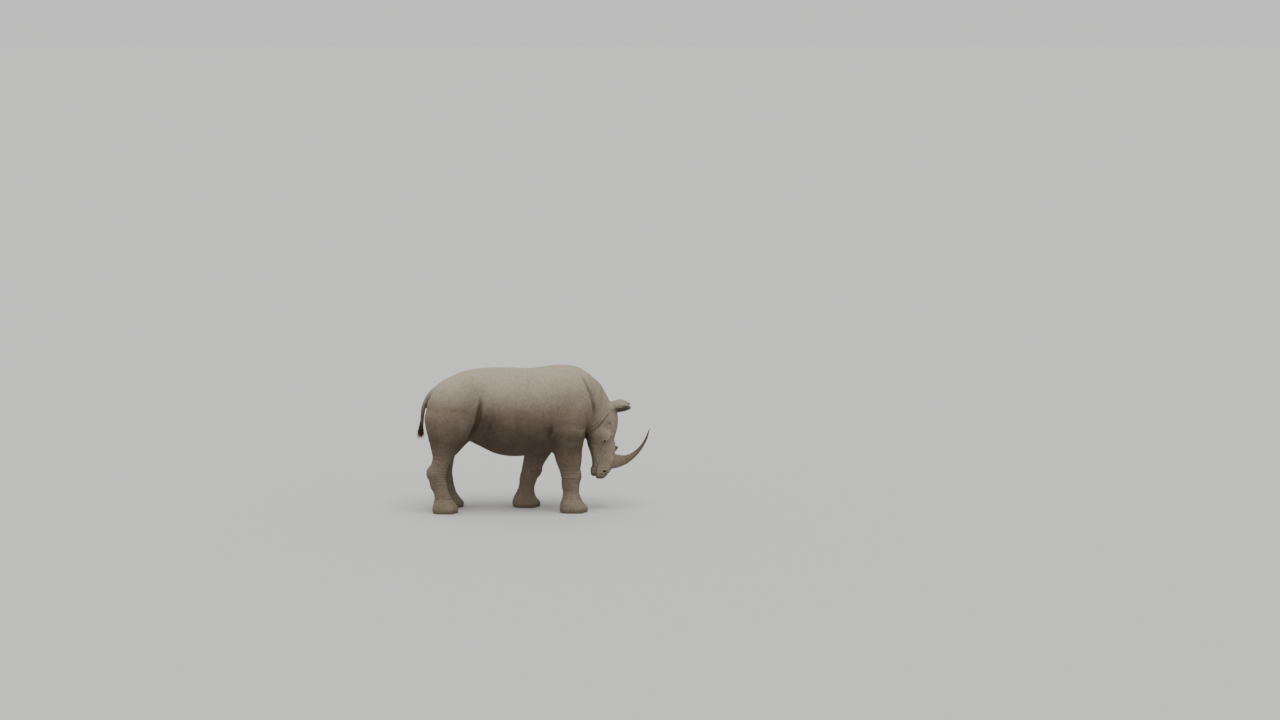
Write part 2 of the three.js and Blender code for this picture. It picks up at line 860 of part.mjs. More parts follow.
function addHead() {
  let head = makeHead();
  for (const [name, horn] of Object.entries({ front: FRONT_HORN, rear: REAR_HORN })) {
    head = head.subtract(sweep(horn, GAP));
    add(`horn_${name}`, sweep(horn), HORN);
  }
  for (const [name, side] of Object.entries(SIDES)) {
    head = head.subtract(makeEye(side, GAP)).subtract(makeEar(side, 2 * GAP));
    add(`eye_${name}`, makeEye(side), EYE_DARK);
    add(`ear_${name}`, makeEar(side), HIDE);
  }
  add("head", keepHead(head, MUZZLE_CUT, 0, [-1, 0]), HIDE);
  const mouth = keepHead(head, MUZZLE_CUT, 0, [1, 0]);
  add("muzzle", keepHead(mouth, MOUTH.along, MOUTH.face, MOUTH.facing), HIDE);
  add("lower_jaw", keepHead(mouth, MOUTH.along, MOUTH.face, MOUTH.facing.map((v) => -v)), HIDE);
}

function addLeg(name) {
  const [kind, sideName] = name.split("_");
  const side = SIDES[sideName];
  const rows = STANCE[name];
  const outs = rows.map(([, , out]) => side * out);
  const forwards = rows.map(([, forward]) => forward);
  const solid = zone(
    [Math.min(...outs) - LEG_REACH.out, Math.min(...forwards) - LEG_REACH.forward, -60],
    [Math.max(...outs) + LEG_REACH.out, Math.max(...forwards) + LEG_REACH.forward, LEG_REACH.top[kind]],
    CELLS.leg,
  ).intersect(legRoom(name));
  let foot = below(solid, ANKLE);
  const [forward, out] = rows[0].slice(1);
  const [, half, reach] = (kind === "foreleg" ? FORELEG : HINDLEG)[1];
  for (const [toe, turn] of Object.entries({ inner: -side, middle: 0, outer: side })) {
    const a = THREE.MathUtils.degToRad(NAIL_SPREAD * turn);
    const nail = (grow) =>
      ball(
        [
          side * out + (half - NAIL_SIZE.inset) * Math.sin(a),
          forward + (reach - NAIL_SIZE.inset) * Math.cos(a),
          NAIL_SIZE.tall + NAIL_SIZE.lift,
        ],
        [NAIL_SIZE.half + grow, NAIL_SIZE.thick + grow, NAIL_SIZE.tall + grow],
        1,
        NAIL_SPREAD * turn,
      );
    foot = foot.subtract(nail(GAP));
    add(`nail_${name}_${toe}`, nail(0), NAIL);
  }
  add(`${name}_foot`, foot, HIDE);
  add(`${name}_lower`, above(below(solid, KNEE), ANKLE), HIDE);
  add(`${name}_upper`, above(solid, KNEE), HIDE);
}

add("trunk", makeTrunk().subtract(sweep(TAIL, GAP)), HIDE);
add("neck", makeNeck(), HIDE);
add("tail", sweep(TAIL), HIDE);
add("tail_tuft", sweep(TUFT), HAIR);
addHead();
for (const name of Object.keys(STANCE)) addLeg(name);

model.updateMatrixWorld(true);
const bounds = new THREE.Box3().setFromObject(model);
const centre = bounds.getCenter(new THREE.Vector3());
for (const mesh of model.children) {
  mesh.position.x -= centre.x;
  mesh.position.y -= centre.y;
  mesh.position.z -= bounds.min.z;
}

export default model;
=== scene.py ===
"""A white rhinoceros cow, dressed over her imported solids: one skin over all the flesh, with horns, eyes,
nails and bristles of their own. The skin is the same field that the solids were cut from, negative inside,
with folds, lids, nostrils and lips added. Lengths in the field are millimetres, as (out, forward, up)."""

import math

import bpy
import numpy as np
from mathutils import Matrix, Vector


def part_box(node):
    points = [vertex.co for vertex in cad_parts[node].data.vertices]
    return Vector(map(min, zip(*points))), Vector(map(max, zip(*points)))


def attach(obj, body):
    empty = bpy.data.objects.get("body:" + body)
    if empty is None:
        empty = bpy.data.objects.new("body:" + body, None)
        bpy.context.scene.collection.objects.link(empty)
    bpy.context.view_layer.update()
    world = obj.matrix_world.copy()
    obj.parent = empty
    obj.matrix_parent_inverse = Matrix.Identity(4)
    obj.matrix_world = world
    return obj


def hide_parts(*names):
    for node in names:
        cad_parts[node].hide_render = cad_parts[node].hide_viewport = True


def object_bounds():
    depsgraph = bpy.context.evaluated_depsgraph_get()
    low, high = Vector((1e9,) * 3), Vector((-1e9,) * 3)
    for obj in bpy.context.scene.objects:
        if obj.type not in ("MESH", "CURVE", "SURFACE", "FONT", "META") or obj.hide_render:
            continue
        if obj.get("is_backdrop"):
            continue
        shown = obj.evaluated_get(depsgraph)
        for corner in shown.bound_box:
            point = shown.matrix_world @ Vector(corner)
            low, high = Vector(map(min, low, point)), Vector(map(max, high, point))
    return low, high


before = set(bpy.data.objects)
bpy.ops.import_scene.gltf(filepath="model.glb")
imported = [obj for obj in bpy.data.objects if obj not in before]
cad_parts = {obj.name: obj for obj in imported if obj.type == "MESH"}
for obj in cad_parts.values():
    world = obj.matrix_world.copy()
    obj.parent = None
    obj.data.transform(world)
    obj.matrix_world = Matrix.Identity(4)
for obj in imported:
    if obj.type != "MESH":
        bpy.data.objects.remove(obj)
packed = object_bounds()

MM = 0.001
RANDOM = np.random.default_rng(11)

# ------------------------------------------------------------ driving dimensions, as in the solids

HEAD_PITCH = math.radians(92)
NECK_PITCH = math.radians(23)
POLL = (1081, 1300)
NECK_ROOT = (480, 1300)
EYE = {"radius": 20, "out": 146, "forward": 948, "up": 815}
EAR_ROOT = (96, 1012, 1168)
EAR_TIP = (158, 1244, 1212)
EAR_OPENS = (0.62, 0.1, -0.78)
EAR_SAG = 14
TOE_SPREAD = 52  # degrees from the middle toe to the next
SIDES = {"right": -1, "left": 1}

# Each leg's middle line: height, forward and out.
STANCE = {
    "foreleg_right": [
        [0, 575, 222],
        [230, 568, 226],
        [410, 566, 236],
        [600, 558, 250],
        [740, 535, 262],
        [1050, 520, 280],
    ],
    "foreleg_left": [
        [0, 30, 222],
        [130, 34, 224],
        [410, 110, 236],
        [600, 196, 250],
        [740, 268, 262],
        [1050, 420, 280],
    ],
    "hindleg_right": [
        [0, -905, 232],
        [150, -905, 236],
        [340, -955, 244],
        [450, -978, 248],
        [545, -952, 250],
        [640, -915, 254],
        [740, -868, 258],
        [880, -835, 256],
        [1200, -800, 225],
    ],
    "hindleg_left": [
        [0, -850, 232],
        [150, -855, 236],
        [340, -892, 244],
        [450, -912, 248],
        [545, -895, 250],
        [640, -876, 254],
        [740, -845, 258],
        [880, -822, 256],
        [1200, -798, 225],
    ],
}

# Stations of the trunk, neck and head: along, half width, top, bottom, widest level, squareness.
TRUNK = [
    [-985, 105, 1320, 1060, 1220, 2],
    [-935, 200, 1400, 960, 1230, 2],
    [-850, 285, 1515, 880, 1235, 2.1],
    [-700, 360, 1602, 850, 1220, 2.15],
    [-500, 420, 1642, 758, 1185, 2.2],
    [-300, 460, 1655, 662, 1150, 2.2],
    [-100, 478, 1650, 630, 1130, 2.2],
    [100, 472, 1644, 644, 1130, 2.2],
    [300, 446, 1636, 682, 1150, 2.2],
    [480, 405, 1620, 735, 1180, 2.15],
    [620, 345, 1560, 835, 1200, 2.1],
    [730, 265, 1480, 990, 1215, 2],
    [820, 180, 1360, 1110, 1230, 2],
]

NECK = [
    [-60, 300, 350, -380, 0, 2.1],
    [60, 310, 368, -390, 0, 2.1],
    [190, 290, 358, -350, 0, 2.1],
    [340, 248, 306, -252, 10, 2.1],
    [456, 208, 222, -190, 10, 2.1],
    [560, 172, 130, -140, 0, 2],
]

HEAD = [
    [40, 80, -110, -200, -150, 2],
    [80, 130, -58, -250, -150, 2.2],
    [140, 158, 4, -278, -150, 2.4],
    [210, 168, 32, -296, -155, 2.5],
    [310, 166, 34, -302, -160, 2.6],
    [400, 166, 22, -310, -155, 2.6],
    [480, 158, 8, -310, -150, 2.6],
    [560, 138, 8, -300, -150, 2.6],
    [650, 121, 6, -266, -148, 2.7],
    [740, 116, 6, -244, -145, 2.8],
    [820, 122, -16, -240, -145, 2.9],
    [880, 128, -50, -228, -148, 3],
    [915, 119, -80, -210, -148, 3],
    [930, 98, -106, -192, -148, 3],
]

# Stations up the legs: height, half width, front, back, squareness.
FORELEG = [
    [0, 122, 140, 130, 2.4],
    [45, 138, 156, 140, 2.5],
    [105, 131, 138, 130, 2.5],
    [165, 108, 108, 108, 2.3],
    [240, 92, 92, 96, 2.2],
    [330, 96, 100, 102, 2.1],
    [410, 105, 112, 116, 2.1],
    [500, 108, 112, 138, 2.1],
    [600, 124, 132, 166, 2.1],
    [720, 140, 158, 178, 2.1],
    [850, 140, 185, 192, 2.1],
    [960, 118, 165, 165, 2],
    [1040, 60, 80, 80, 2],
]

HINDLEG = [
    [0, 110, 130, 118, 2.4],
    [45, 126, 146, 128, 2.5],
    [105, 118, 128, 118, 2.5],
    [165, 96, 98, 98, 2.3],
    [250, 84, 86, 92, 2.2],
    [340, 86, 90, 100, 2.2],
    [450, 94, 104, 106, 2.1],
    [545, 94, 104, 98, 2.1],
    [640, 108, 116, 108, 2.1],
    [740, 146, 172, 168, 2.1],
    [880, 172, 262, 236, 2.1],
    [1020, 180, 286, 268, 2.1],
    [1130, 160, 250, 270, 2],
    [1230, 90, 130, 160, 2],
]

# The ear: share of its length, half width, depth.
EAR_SHAPE = [(0, 48, 46), (0.25, 56, 54), (0.5, 66, 56), (0.7, 63, 48), (0.88, 42, 31), (1, 10, 9)]

# The tail's and the horns' middle lines as (forward, up), and their radius at each share of the length.
TAIL_LINE = [
    (-900, 1400),
    (-992, 1384),
    (-1068, 1322),
    (-1120, 1222),
    (-1142, 1120),
    (-1148, 1040),
    (-1150, 972),
]
TAIL_RADIUS = [(0, 66), (0.14, 52), (0.3, 36), (0.55, 26), (0.85, 20), (1, 17)]

FRONT_HORN = {
    "line": [
        (1030, 556),
        (1100, 560),
        (1190, 573),
        (1276, 616),
        (1350, 682),
        (1404, 752),
        (1443, 826),
        (1480, 934),
    ],
    "radius": [(0, 84), (0.1, 80), (0.2, 62), (0.35, 41), (0.5, 28), (0.7, 18), (0.88, 11), (1, 4)],
    "flatness": 0.9,
}
REAR_HORN = {
    "line": [(1030, 708), (1066, 710), (1092, 714), (1118, 720)],
    "radius": [(0, 58), (0.35, 50), (0.6, 36), (0.85, 17), (1, 5)],
    "flatness": 1.0,
}

# The eyes tell where the animal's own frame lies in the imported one.
low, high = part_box("eye_left")
ORIGIN = (low + high) / 2 - Vector((EYE["out"], -EYE["forward"], EYE["up"])) * MM


def placed(points):
    """Points of (out, forward, up) in millimetres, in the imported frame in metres."""
    p = np.asarray(points, float).reshape(-1, 3)
    return np.stack([p[:, 0], -p[:, 1], p[:, 2]], 1) * MM + np.array(ORIGIN)


# ------------------------------------------------------------ curves through stations


def track(rows, samples=512):
    """A smooth curve through rows of [position, values...], as a function that gives a list of values."""
    rows = np.asarray(rows, float)
    at, values = rows[:, 0], rows[:, 1:]
    before = np.r_[0, 0 : len(at) - 1]
    after = np.r_[1 : len(at), len(at) - 1]
    slope = (values[after] - values[before]) / (at[after] - at[before])[:, None]
    even = np.linspace(at[0], at[-1], samples)
    i = np.clip(np.searchsorted(at, even, "right") - 1, 0, len(at) - 2)
    span = (at[i + 1] - at[i])[:, None]
    t = (even - at[i])[:, None] / span
    h = t * t * (3 - 2 * t)
    lean = (1 - t) * slope[i] - t * slope[i + 1]
    table = values[i] * (1 - h) + values[i + 1] * h + span * t * (1 - t) * lean
    return lambda q: [np.interp(q, even, column) for column in table.T]


def smooth_line(points, count):
    """Evenly spaced places on a Catmull-Rom curve through the points."""
    p = np.asarray(points, float)
    p = np.vstack([2 * p[0] - p[1], p, 2 * p[-1] - p[-2]])
    t = np.linspace(0, 1, 24, endpoint=False)[:, None]
    parts = []
    for a, b, c, d in zip(p, p[1:], p[2:], p[3:]):
        parts.append(
            0.5
            * (
                2 * b
                + (c - a) * t
                + (2 * a - 5 * b + 4 * c - d) * t**2
                + (3 * b - 3 * c + d - a) * t**3
            )
        )
    line = np.vstack([*parts, p[-2][None]])
    length = np.r_[0, np.cumsum(np.linalg.norm(np.diff(line, axis=0), axis=1))]
    even = np.linspace(0, length[-1], count)
    return np.stack([np.interp(even, length, c) for c in line.T], 1)


def step(low, high, value):
    t = np.clip((value - low) / (high - low), 0, 1)
    return t * t * (3 - 2 * t)


# ------------------------------------------------------------ fields


def mirrored(p):
    """Both sides folded on to her left one."""
    return np.stack([np.abs(p[0]), p[1], p[2]])


def in_box(p, low, high):
    return ((p > low[:, None]) & (p < high[:, None])).all(0)


def melt(a, b, radius):
    """The union of two fields, rounded where they meet."""
    h = np.maximum(radius - np.abs(a - b), 0) / radius
    return np.minimum(a, b) - h * h * radius / 4


def cut(a, b, radius):
    """What is in a and not beyond b, with the edge rounded."""
    return -melt(-a, -b, radius)


def section(a, b, wide, plus, minus, squareness):
    """Distance to a rounded outline that reaches `plus` one way and `minus` the other."""
    tall = np.where(b > 0, plus, minus)
    u, v = np.abs(a) / wide, np.abs(b) / tall
    r = (u**squareness + v**squareness) ** (1 / squareness)
    r = np.maximum(r, 1e-3)
    steep = np.hypot(u ** (squareness - 1) / wide, v ** (squareness - 1) / tall)
    steep = np.maximum(steep * r ** (1 - squareness), 1e-6)
    return np.maximum((r - 1) / steep, -np.minimum(wide, tall))


class Piece:
    """A field with the box outside which it is too far off to matter."""

    def __init__(self, field, low, high, radius):
        self.field, self.radius = field, radius
        reach = radius + 60
        self.low, self.high = np.array(low) - reach, np.array(high) + reach

    def near(self, p):
        return in_box(p, self.low, self.high)

    def melt_into(self, d, p):
        near = self.near(p)
        d[near] = melt(d[near], self.field(p[:, near]), self.radius)


def loft(start, pitch, rows, rounding=1.0):
    """A body through stations along a sloping line."""
    look = track(rows)
    low, high = rows[0][0], rows[-1][0]
    c, s = math.cos(pitch), math.sin(pitch)

    def field(p):
        df, dz = p[1] - start[0], p[2] - start[1]
        along, up = df * c - dz * s, df * s + dz * c
        wide, top, bottom, widest, squareness = look(along)
        d = section(p[0], up - widest, wide, top - widest, widest - bottom, squareness)
        return cut(cut(d, low - along, rounding), along - high, rounding)

    return field


def mass(centre, radii, lean=0):
    """An ellipsoid. `lean` raises its front by so many degrees."""
    c, s = math.cos(math.radians(lean)), math.sin(math.radians(lean))

    def field(p):
        dx, df, dz = (p[k] - centre[k] for k in range(3))
        df, dz = df * c + dz * s, dz * c - df * s
        q = np.stack([dx / radii[0], df / radii[1], dz / radii[2]])
        g = np.stack([q[k] / radii[k] for k in range(3)])
        k = np.sqrt((q**2).sum(0))
        return k * (k - 1) / np.maximum(np.sqrt((g**2).sum(0)), 1e-6)

    return field


def one(centre, radii, radius):
    reach = max(radii)
    return Piece(mass(centre, radii), [c - reach for c in centre], [c + reach for c in centre], radius)


def pair(centre, radii, radius, lean=0):
    field, reach = mass(centre, radii, lean), max(radii)
    return Piece(
        lambda p: field(mirrored(p)),
        [-centre[0] - reach, centre[1] - reach, centre[2] - reach],
        [centre[0] + reach, centre[1] + reach, centre[2] + reach],
        radius,
    )


def on_head(along, face):
    """Forward and up of a place given below the poll and in front of the line of the face."""
    c, s = math.cos(HEAD_PITCH), math.sin(HEAD_PITCH)
    return (POLL[0] + along * c + face * s, POLL[1] - along * s + face * c)


def head_place(p):
    """How far below the poll and in front of the line of the face."""
    c, s = math.cos(HEAD_PITCH), math.sin(HEAD_PITCH)
    df, dz = p[1] - POLL[0], p[2] - POLL[1]
    return df * c - dz * s, df * s + dz * c


def head_mass(along, out, face, radii, radius):
    return pair((out, *on_head(along, face)), radii, radius)


def leg(name, rows):
    look, bone = track(rows), track(STANCE[name])
    side = SIDES[name.split("_")[1]]

    def field(p):
        forward, out = bone(p[2])
        wide, front, back, squareness = look(p[2])
        d = section(p[0] - side * out, p[1] - forward, wide, front, back, squareness)
        return np.maximum(np.maximum(d, -p[2] - 60), p[2] - rows[-1][0])

    outs = [side * row[2] for row in STANCE[name]]
    forwards = [row[1] for row in STANCE[name]]
    return Piece(
        field,
        (min(outs) - 190, min(forwards) - 290, -80),
        (max(outs) + 190, max(forwards) + 290, rows[-1][0]),
        90,
    )


def line_distance(p, line):
    """Distance to a polyline and how far along it the nearest place lies, from 0 to 1."""
    best = np.full(p.shape[1], np.inf)
    share = np.zeros(p.shape[1])
    for k, (a, b) in enumerate(zip(line, line[1:])):
        d = b - a
        q = p - a[:, None]
        t = np.clip((q * d[:, None]).sum(0) / (d @ d), 0, 1)
        away = np.sqrt(((q - t * d[:, None]) ** 2).sum(0))
        closer = away < best
        best = np.where(closer, away, best)
        share = np.where(closer, (k + t) / (len(line) - 1), share)
    return best, share


def tail_piece():
    line = smooth_line([(0, f, z) for f, z in TAIL_LINE], 22)
    radius = track(TAIL_RADIUS)

    def field(p):
        away, share = line_distance(p, line)
        return away - radius(share)[0]

    return Piece(field, line.min(0) - 50, line.max(0) + 50, 8)


def ear_axes():
    """The ear's root and length, and its directions along, out of the opening and across."""
    root, tip = np.array(EAR_ROOT, float), np.array(EAR_TIP, float)
    length = np.linalg.norm(tip - root)
    along = (tip - root) / length
    opens = np.array(EAR_OPENS) - np.dot(EAR_OPENS, along) * along
    opens /= np.linalg.norm(opens)
    return root, length, along, opens, np.cross(along, opens)


def ear_piece(thick):
    """Both ears, with walls as thick as given."""
    root, length, along, opens, across = ear_axes()
    look = track(EAR_SHAPE)

    def field(p):
        q = mirrored(p) - root[:, None]
        a = along @ q
        t = a / length
        s, w = across @ q, opens @ q + EAR_SAG * np.sin(math.pi * np.clip(t, 0, 1))
        wide, deep = look(t)
        outer = section(s, w, wide, deep, deep, 2.0)
        outer = cut(cut(outer, -a - 30, 4), a - length - 4, 4)
        in_wide, in_deep = np.maximum(wide - thick, 2), np.maximum(deep - thick, 2)
        mouth = in_wide * (1 - 0.16 * step(0, 0.5 * deep, w))
        cup = section(s, np.minimum(w, 0), mouth, in_deep, in_deep, 2.0)
        opened = step(0.14, 0.5, t) * (1 - step(0.84, 0.97, t))
        floor = deep * (1 - opened) - in_deep * opened
        cup = np.maximum(cup, floor - w)
        return cut(outer, -cup, 5)

    return Piece(field, (-240, 940, 1080), (240, 1270, 1300), 26)


MUSCLES = [
    one((0, 455, 1445), (190, 310, 225), 140),
    pair((262, 470, 1240), (136, 215, 350), 110, 14),
    pair((240, 600, 1040), (120, 125, 200), 110),
    one((0, 570, 880), (150, 160, 130), 110),
    pair((236, -560, 1440), (130, 160, 140), 130),
    pair((200, -788, 1258), (205, 268, 250), 120),
    pair((190, -905, 1080), (170, 185, 230), 110),
    one((0, -925, 1190), (100, 172, 190), 60),
]

HEAD_MASSES = [
    head_mass(122, 94, -58, (58, 60, 58), 50),
    head_mass(265, 84, -30, (70, 52, 150), 60),
    head_mass(350, 92, -215, (74, 86, 140), 60),
    head_mass(425, 122, -105, (52, 62, 78), 40),
    head_mass(585, 0, -42, (88, 60, 82), 40),
    head_mass(730, 0, -62, (110, 78, 108), 40),
    head_mass(815, 82, -92, (46, 58, 62), 30),
    head_mass(880, 70, -150, (66, 70, 46), 30),
]

LEGS = {name: leg(name, FORELEG if name.startswith("fore") else HINDLEG) for name in STANCE}

trunk = loft((0, 0), 0, TRUNK)
neck = Piece(loft(NECK_ROOT, NECK_PITCH, NECK, 110), (-320, 300, 750), (320, 1120, 1760), 120)
skull = Piece(loft(POLL, HEAD_PITCH, HEAD, 40), (-180, 740, 350), (180, 1130, 1280), 70)
tail = tail_piece()
ears = {"thin": ear_piece(8), "thick": ear_piece(22)}  # millimetres


def head_field(p):
    d = skull.field(p)
    for piece in HEAD_MASSES:
        piece.melt_into(d, p)
    return d


# ------------------------------------------------------------ folds and features of the skin


def fold(depth, width, places, over=0, followers=0, gap=(0, 0, 0), lips=0.25):
    """A fold on both sides, `over` 1 where the skin behind it hangs over it and -1 for the skin in front.

    Each weaker fold that follows lies `gap` further on. The skin beside it swells by the share `lips`.
    """
    return {
        "depth": depth,
        "width": width,
        "places": np.array(places, float),
        "over": over,
        "followers": followers,
        "gap": np.array(gap, float),
        "lips": lips,
    }


# Where the folds run, on her left side.
FLANK = [
    (415, -462, 1420),
    (432, -482, 1310),
    (450, -508, 1185),
    (450, -530, 1060),
    (428, -556, 945),
    (355, -590, 862),
    (290, -612, 815),
]
BEFORE_FLANK = [(455, -352, 1240), (466, -340, 1110), (462, -362, 990), (440, -400, 890)]
SHOULDER = [
    (60, 640, 1640),
    (150, 671, 1600),
    (235, 748, 1470),
    (268, 805, 1325),
    (268, 828, 1165),
    (240, 826, 1060),
    (190, 810, 1000),
]
NECK_SIDE = [(120, 770, 1540), (200, 835, 1420), (225, 868, 1290), (225, 878, 1160), (190, 865, 1060)]
ARMPIT = [
    (446, 352, 1070),
    (444, 350, 985),
    (432, 340, 900),
    (402, 322, 815),
    (350, 302, 740),
    (290, 285, 690),
]
BEFORE_ARMPIT = [(455, 262, 1060), (448, 248, 950), (428, 232, 840)]
OVER_FORELEG = [(400, 520, 870), (385, 590, 905), (345, 660, 925), (290, 715, 925), (220, 750, 900)]
BESIDE_TAIL = [
    (84, -940, 1430),
    (112, -1000, 1366),
    (122, -1040, 1290),
    (110, -1066, 1210),
    (92, -1072, 1120),
    (76, -1050, 1020),
]
UNDER_BUTTOCK = [(330, -960, 800), (260, -1010, 830), (190, -1020, 880)]
STIFLE = [(370, -560, 800), (390, -620, 760), (380, -690, 730)]
BEHIND_JAW = [(100, 990, 1150), (165, 948, 1085), (178, 890, 1000), (150, 830, 940), (60, 800, 905)]

FOLDS = [
    fold(42, 22, FLANK, over=1, lips=0.15),
    fold(9, 23, BEFORE_FLANK, lips=0.4),
    fold(24, 18, SHOULDER, over=1),
    fold(11, 16, NECK_SIDE, over=1, followers=2, gap=(0, 62, -14)),
    fold(40, 22, ARMPIT, over=-1, lips=0.15),
    fold(9, 18, BEFORE_ARMPIT),
    fold(13, 20, OVER_FORELEG, followers=1, gap=(0, 0, 52)),
    fold(17, 17, BESIDE_TAIL, lips=0.1),
    fold(8, 18, UNDER_BUTTOCK),
    fold(8, 18, STIFLE),
    fold(12, 14, BEHIND_JAW, over=1, followers=1, gap=(0, -44, 0)),
]

# Soft swellings on both sides, and hollows where the height is negative: places, height and half width.
SWELLINGS = [
    ([(448, -405, 1190), (446, -440, 1080), (436, -470, 980), (415, -500, 890)], -14, 52),
    ([(448, 312, 1010), (436, 300, 920), (410, 290, 830)], -14, 48),
    ([(452, -425, 1270), (474, -440, 1150), (468, -462, 1020), (440, -500, 920)], 15, 30),
    ([(430, -560, 1260), (430, -585, 1120), (425, -610, 980), (400, -650, 880)], 12, 40),
    ([(150, 620, 1600), (240, 690, 1470), (285, 745, 1320), (285, 765, 1160)], 15, 32),
    ([(448, 405, 1020), (440, 385, 910), (415, 372, 810)], 12, 34),
    ([(200, 812, 1470), (250, 850, 1320), (250, 862, 1180)], 8, 26),
]

# Hollows and ridges of the head, in its own frame: places as (below the poll, out, in front of the line of
# the face), height and half width.
HEAD_RIDGES = [
    ([(500, 150, -165), (420, 166, -175), (330, 172, -165), (230, 172, -150), (160, 160, -130)], 9, 26),
    ([(395, 128, -30), (440, 146, -62), (485, 150, -92), (530, 136, -112)], 9, 15),
    ([(300, 120, -285), (400, 118, -285), (500, 104, -272), (620, 92, -258)], 7, 24),
    ([(560, 66, 14), (640, 80, 2), (700, 98, -12)], 5, 26),
]
HEAD_HOLLOWS = [
    ([(410, 150, -75), (330, 160, -72), (250, 164, -66)], 10, 34),
    ([(500, 138, -205), (590, 128, -190), (690, 118, -180)], 8, 32),
    ([(520, 150, -118), (570, 136, -138), (640, 122, -150)], 4, 10),
    ([(500, 100, -4), (492, 50, 16), (490, 0, 20)], 6, 9),
    ([(470, 90, 6), (462, 45, 20), (462, 0, 24)], 3.5, 8),
    ([(440, 96, 10), (432, 50, 24), (430, 0, 27)], 2.5, 8),
    ([(655, 96, -6), (652, 50, 8), (652, 0, 10)], 7, 9),
    ([(560, 140, -165), (640, 124, -205), (700, 112, -222)], 4, 12),
    ([(600, 134, -140), (680, 122, -172), (735, 114, -190)], 4, 10),
    ([(790, 118, -30), (845, 128, -45), (880, 128, -70)], 4, 11),
]


class Line:
    """A fold or ridge along the skin. Positive heights dig in. One side only, or both with `both`.

    `over` makes it steep towards the skin that hangs over it, and gentle the other way.
    """

    def __init__(self, places, height, width, both=True, lips=0.0, over=0):
        line = smooth_line(places, 16)
        self.line = onto(plain_field, line, 5, 30.0, 2.0)
        self.height, self.width, self.both, self.lips, self.over = height, width, both, lips, over
        self.low, self.high = self.line.min(0) - 5 * width, self.line.max(0) + 5 * width

    def add(self, d, p, sign=1.0):
        q = mirrored(p) if self.both else p
        near = in_box(q, self.low, self.high)
        q = q[:, near]
        away, share = line_distance(q, self.line)
        width = self.width
        if self.over:
            ahead = q[1] - np.interp(share, np.linspace(0, 1, len(self.line)), self.line[:, 1])
            width = width * (1.4 + 0.85 * np.tanh(self.over * ahead / (0.35 * width)))
        fade = step(0, 0.4, share) * step(0, 0.3, 1 - share)
        shape = np.exp(-((away / width) ** 2))
        shape = shape - self.lips * np.exp(-(((away / width - 2.1) / 1.2) ** 2))
        d[near] += sign * self.height * fade * shape


def fold_lines():
    lines = []
    for f in FOLDS:
        lines.append(Line(f["places"], f["depth"], f["width"], lips=f["lips"], over=f["over"]))
        inner = f["places"][1:-1] if len(f["places"]) > 4 else f["places"]
        for k in range(1, f["followers"] + 1):
            depth, width = f["depth"] * 0.62**k, f["width"] * 0.85
            lines.append(Line(inner + k * f["gap"], depth, width, lips=f["lips"], over=f["over"]))
    for places, height, width in SWELLINGS:
        lines.append(Line(places, -height, width))
    for rows, sign in ((HEAD_RIDGES, -1), (HEAD_HOLLOWS, 1)):
        for places, height, width in rows:
            on_face = [(out, *on_head(along, face)) for along, out, face in places]
            lines.append(Line(on_face, sign * height, width, lips=0.2 * (sign > 0)))
    return lines


# Creases that run part of the way round each leg: height, how many, their gap and depth.
LEG_FOLDS = {
    "foreleg": [(455, 4, 26, 5.0), (345, 2, 24, 3.0), (190, 4, 19, 5.0), (610, 2, 44, 4.0)],
    "hindleg": [(500, 5, 27, 5.0), (370, 2, 24, 3.0), (190, 4, 19, 5.0), (640, 2, 40, 4.5)],
}


def leg_fold_lines():
    lines = []
    for name in STANCE:
        kind, side = name.split("_")
        bone, rows = track(STANCE[name]), track(FORELEG if kind == "foreleg" else HINDLEG)
        for height, count, gap, depth in LEG_FOLDS[kind]:
            for k in range(2 * count):
                z = height + gap * (k // 2 - (count - 1) / 2) + RANDOM.uniform(-10, 10)
                middle = RANDOM.uniform(-0.7, 0.7) + math.pi * (k % 2)
                angle = middle + np.linspace(-1, 1, 9) * RANDOM.uniform(0.8, 1.35)
                forward, out = bone(z)
                wide, front, _, _ = rows(z)
                tilt = RANDOM.uniform(-9, 9)
                rise = z + tilt * np.sin(angle) + 6 * np.cos(2 * angle + k)
                x = SIDES[side] * out + wide * np.sin(angle)
                f = forward + front * np.cos(angle)
                places = np.stack([x, f, rise], 1)
                size = RANDOM.uniform(0.3, 1.15) * depth
                lines.append(Line(places, size, RANDOM.uniform(5.5, 9.5), both=False, lips=0.2))
    return lines


class Lumps:
    """Smooth random values on a lattice, from -1 to 1."""

    def __init__(self, cell):
        self.cell = np.asarray(cell, float) * np.ones(3)
        self.values = RANDOM.uniform(-1, 1, (32, 32, 32))

    def __call__(self, p):
        q = p / self.cell[:, None] + 1000.0
        i = np.floor(q).astype(int)
        t = q - i
        t = t * t * (3 - 2 * t)
        total = 0.0
        for a in (0, 1):
            for b in (0, 1):
                for c in (0, 1):
                    w = (t[0] if a else 1 - t[0]) * (t[1] if b else 1 - t[1])
                    w = w * (t[2] if c else 1 - t[2])
                    j = (i + np.array([[a], [b], [c]])) % 32
                    total = total + w * self.values[j[0], j[1], j[2]]
        return total


# Unevenness of the hide, by the size of its lumps.
broad, middling, small = Lumps(150), Lumps((46, 60, 46)), Lumps((17, 17, 17))
neck_wrinkles, flank_folds = Lumps((110, 26, 150)), Lumps((120, 42, 300))


def unit(vector):
    return vector / np.linalg.norm(vector)


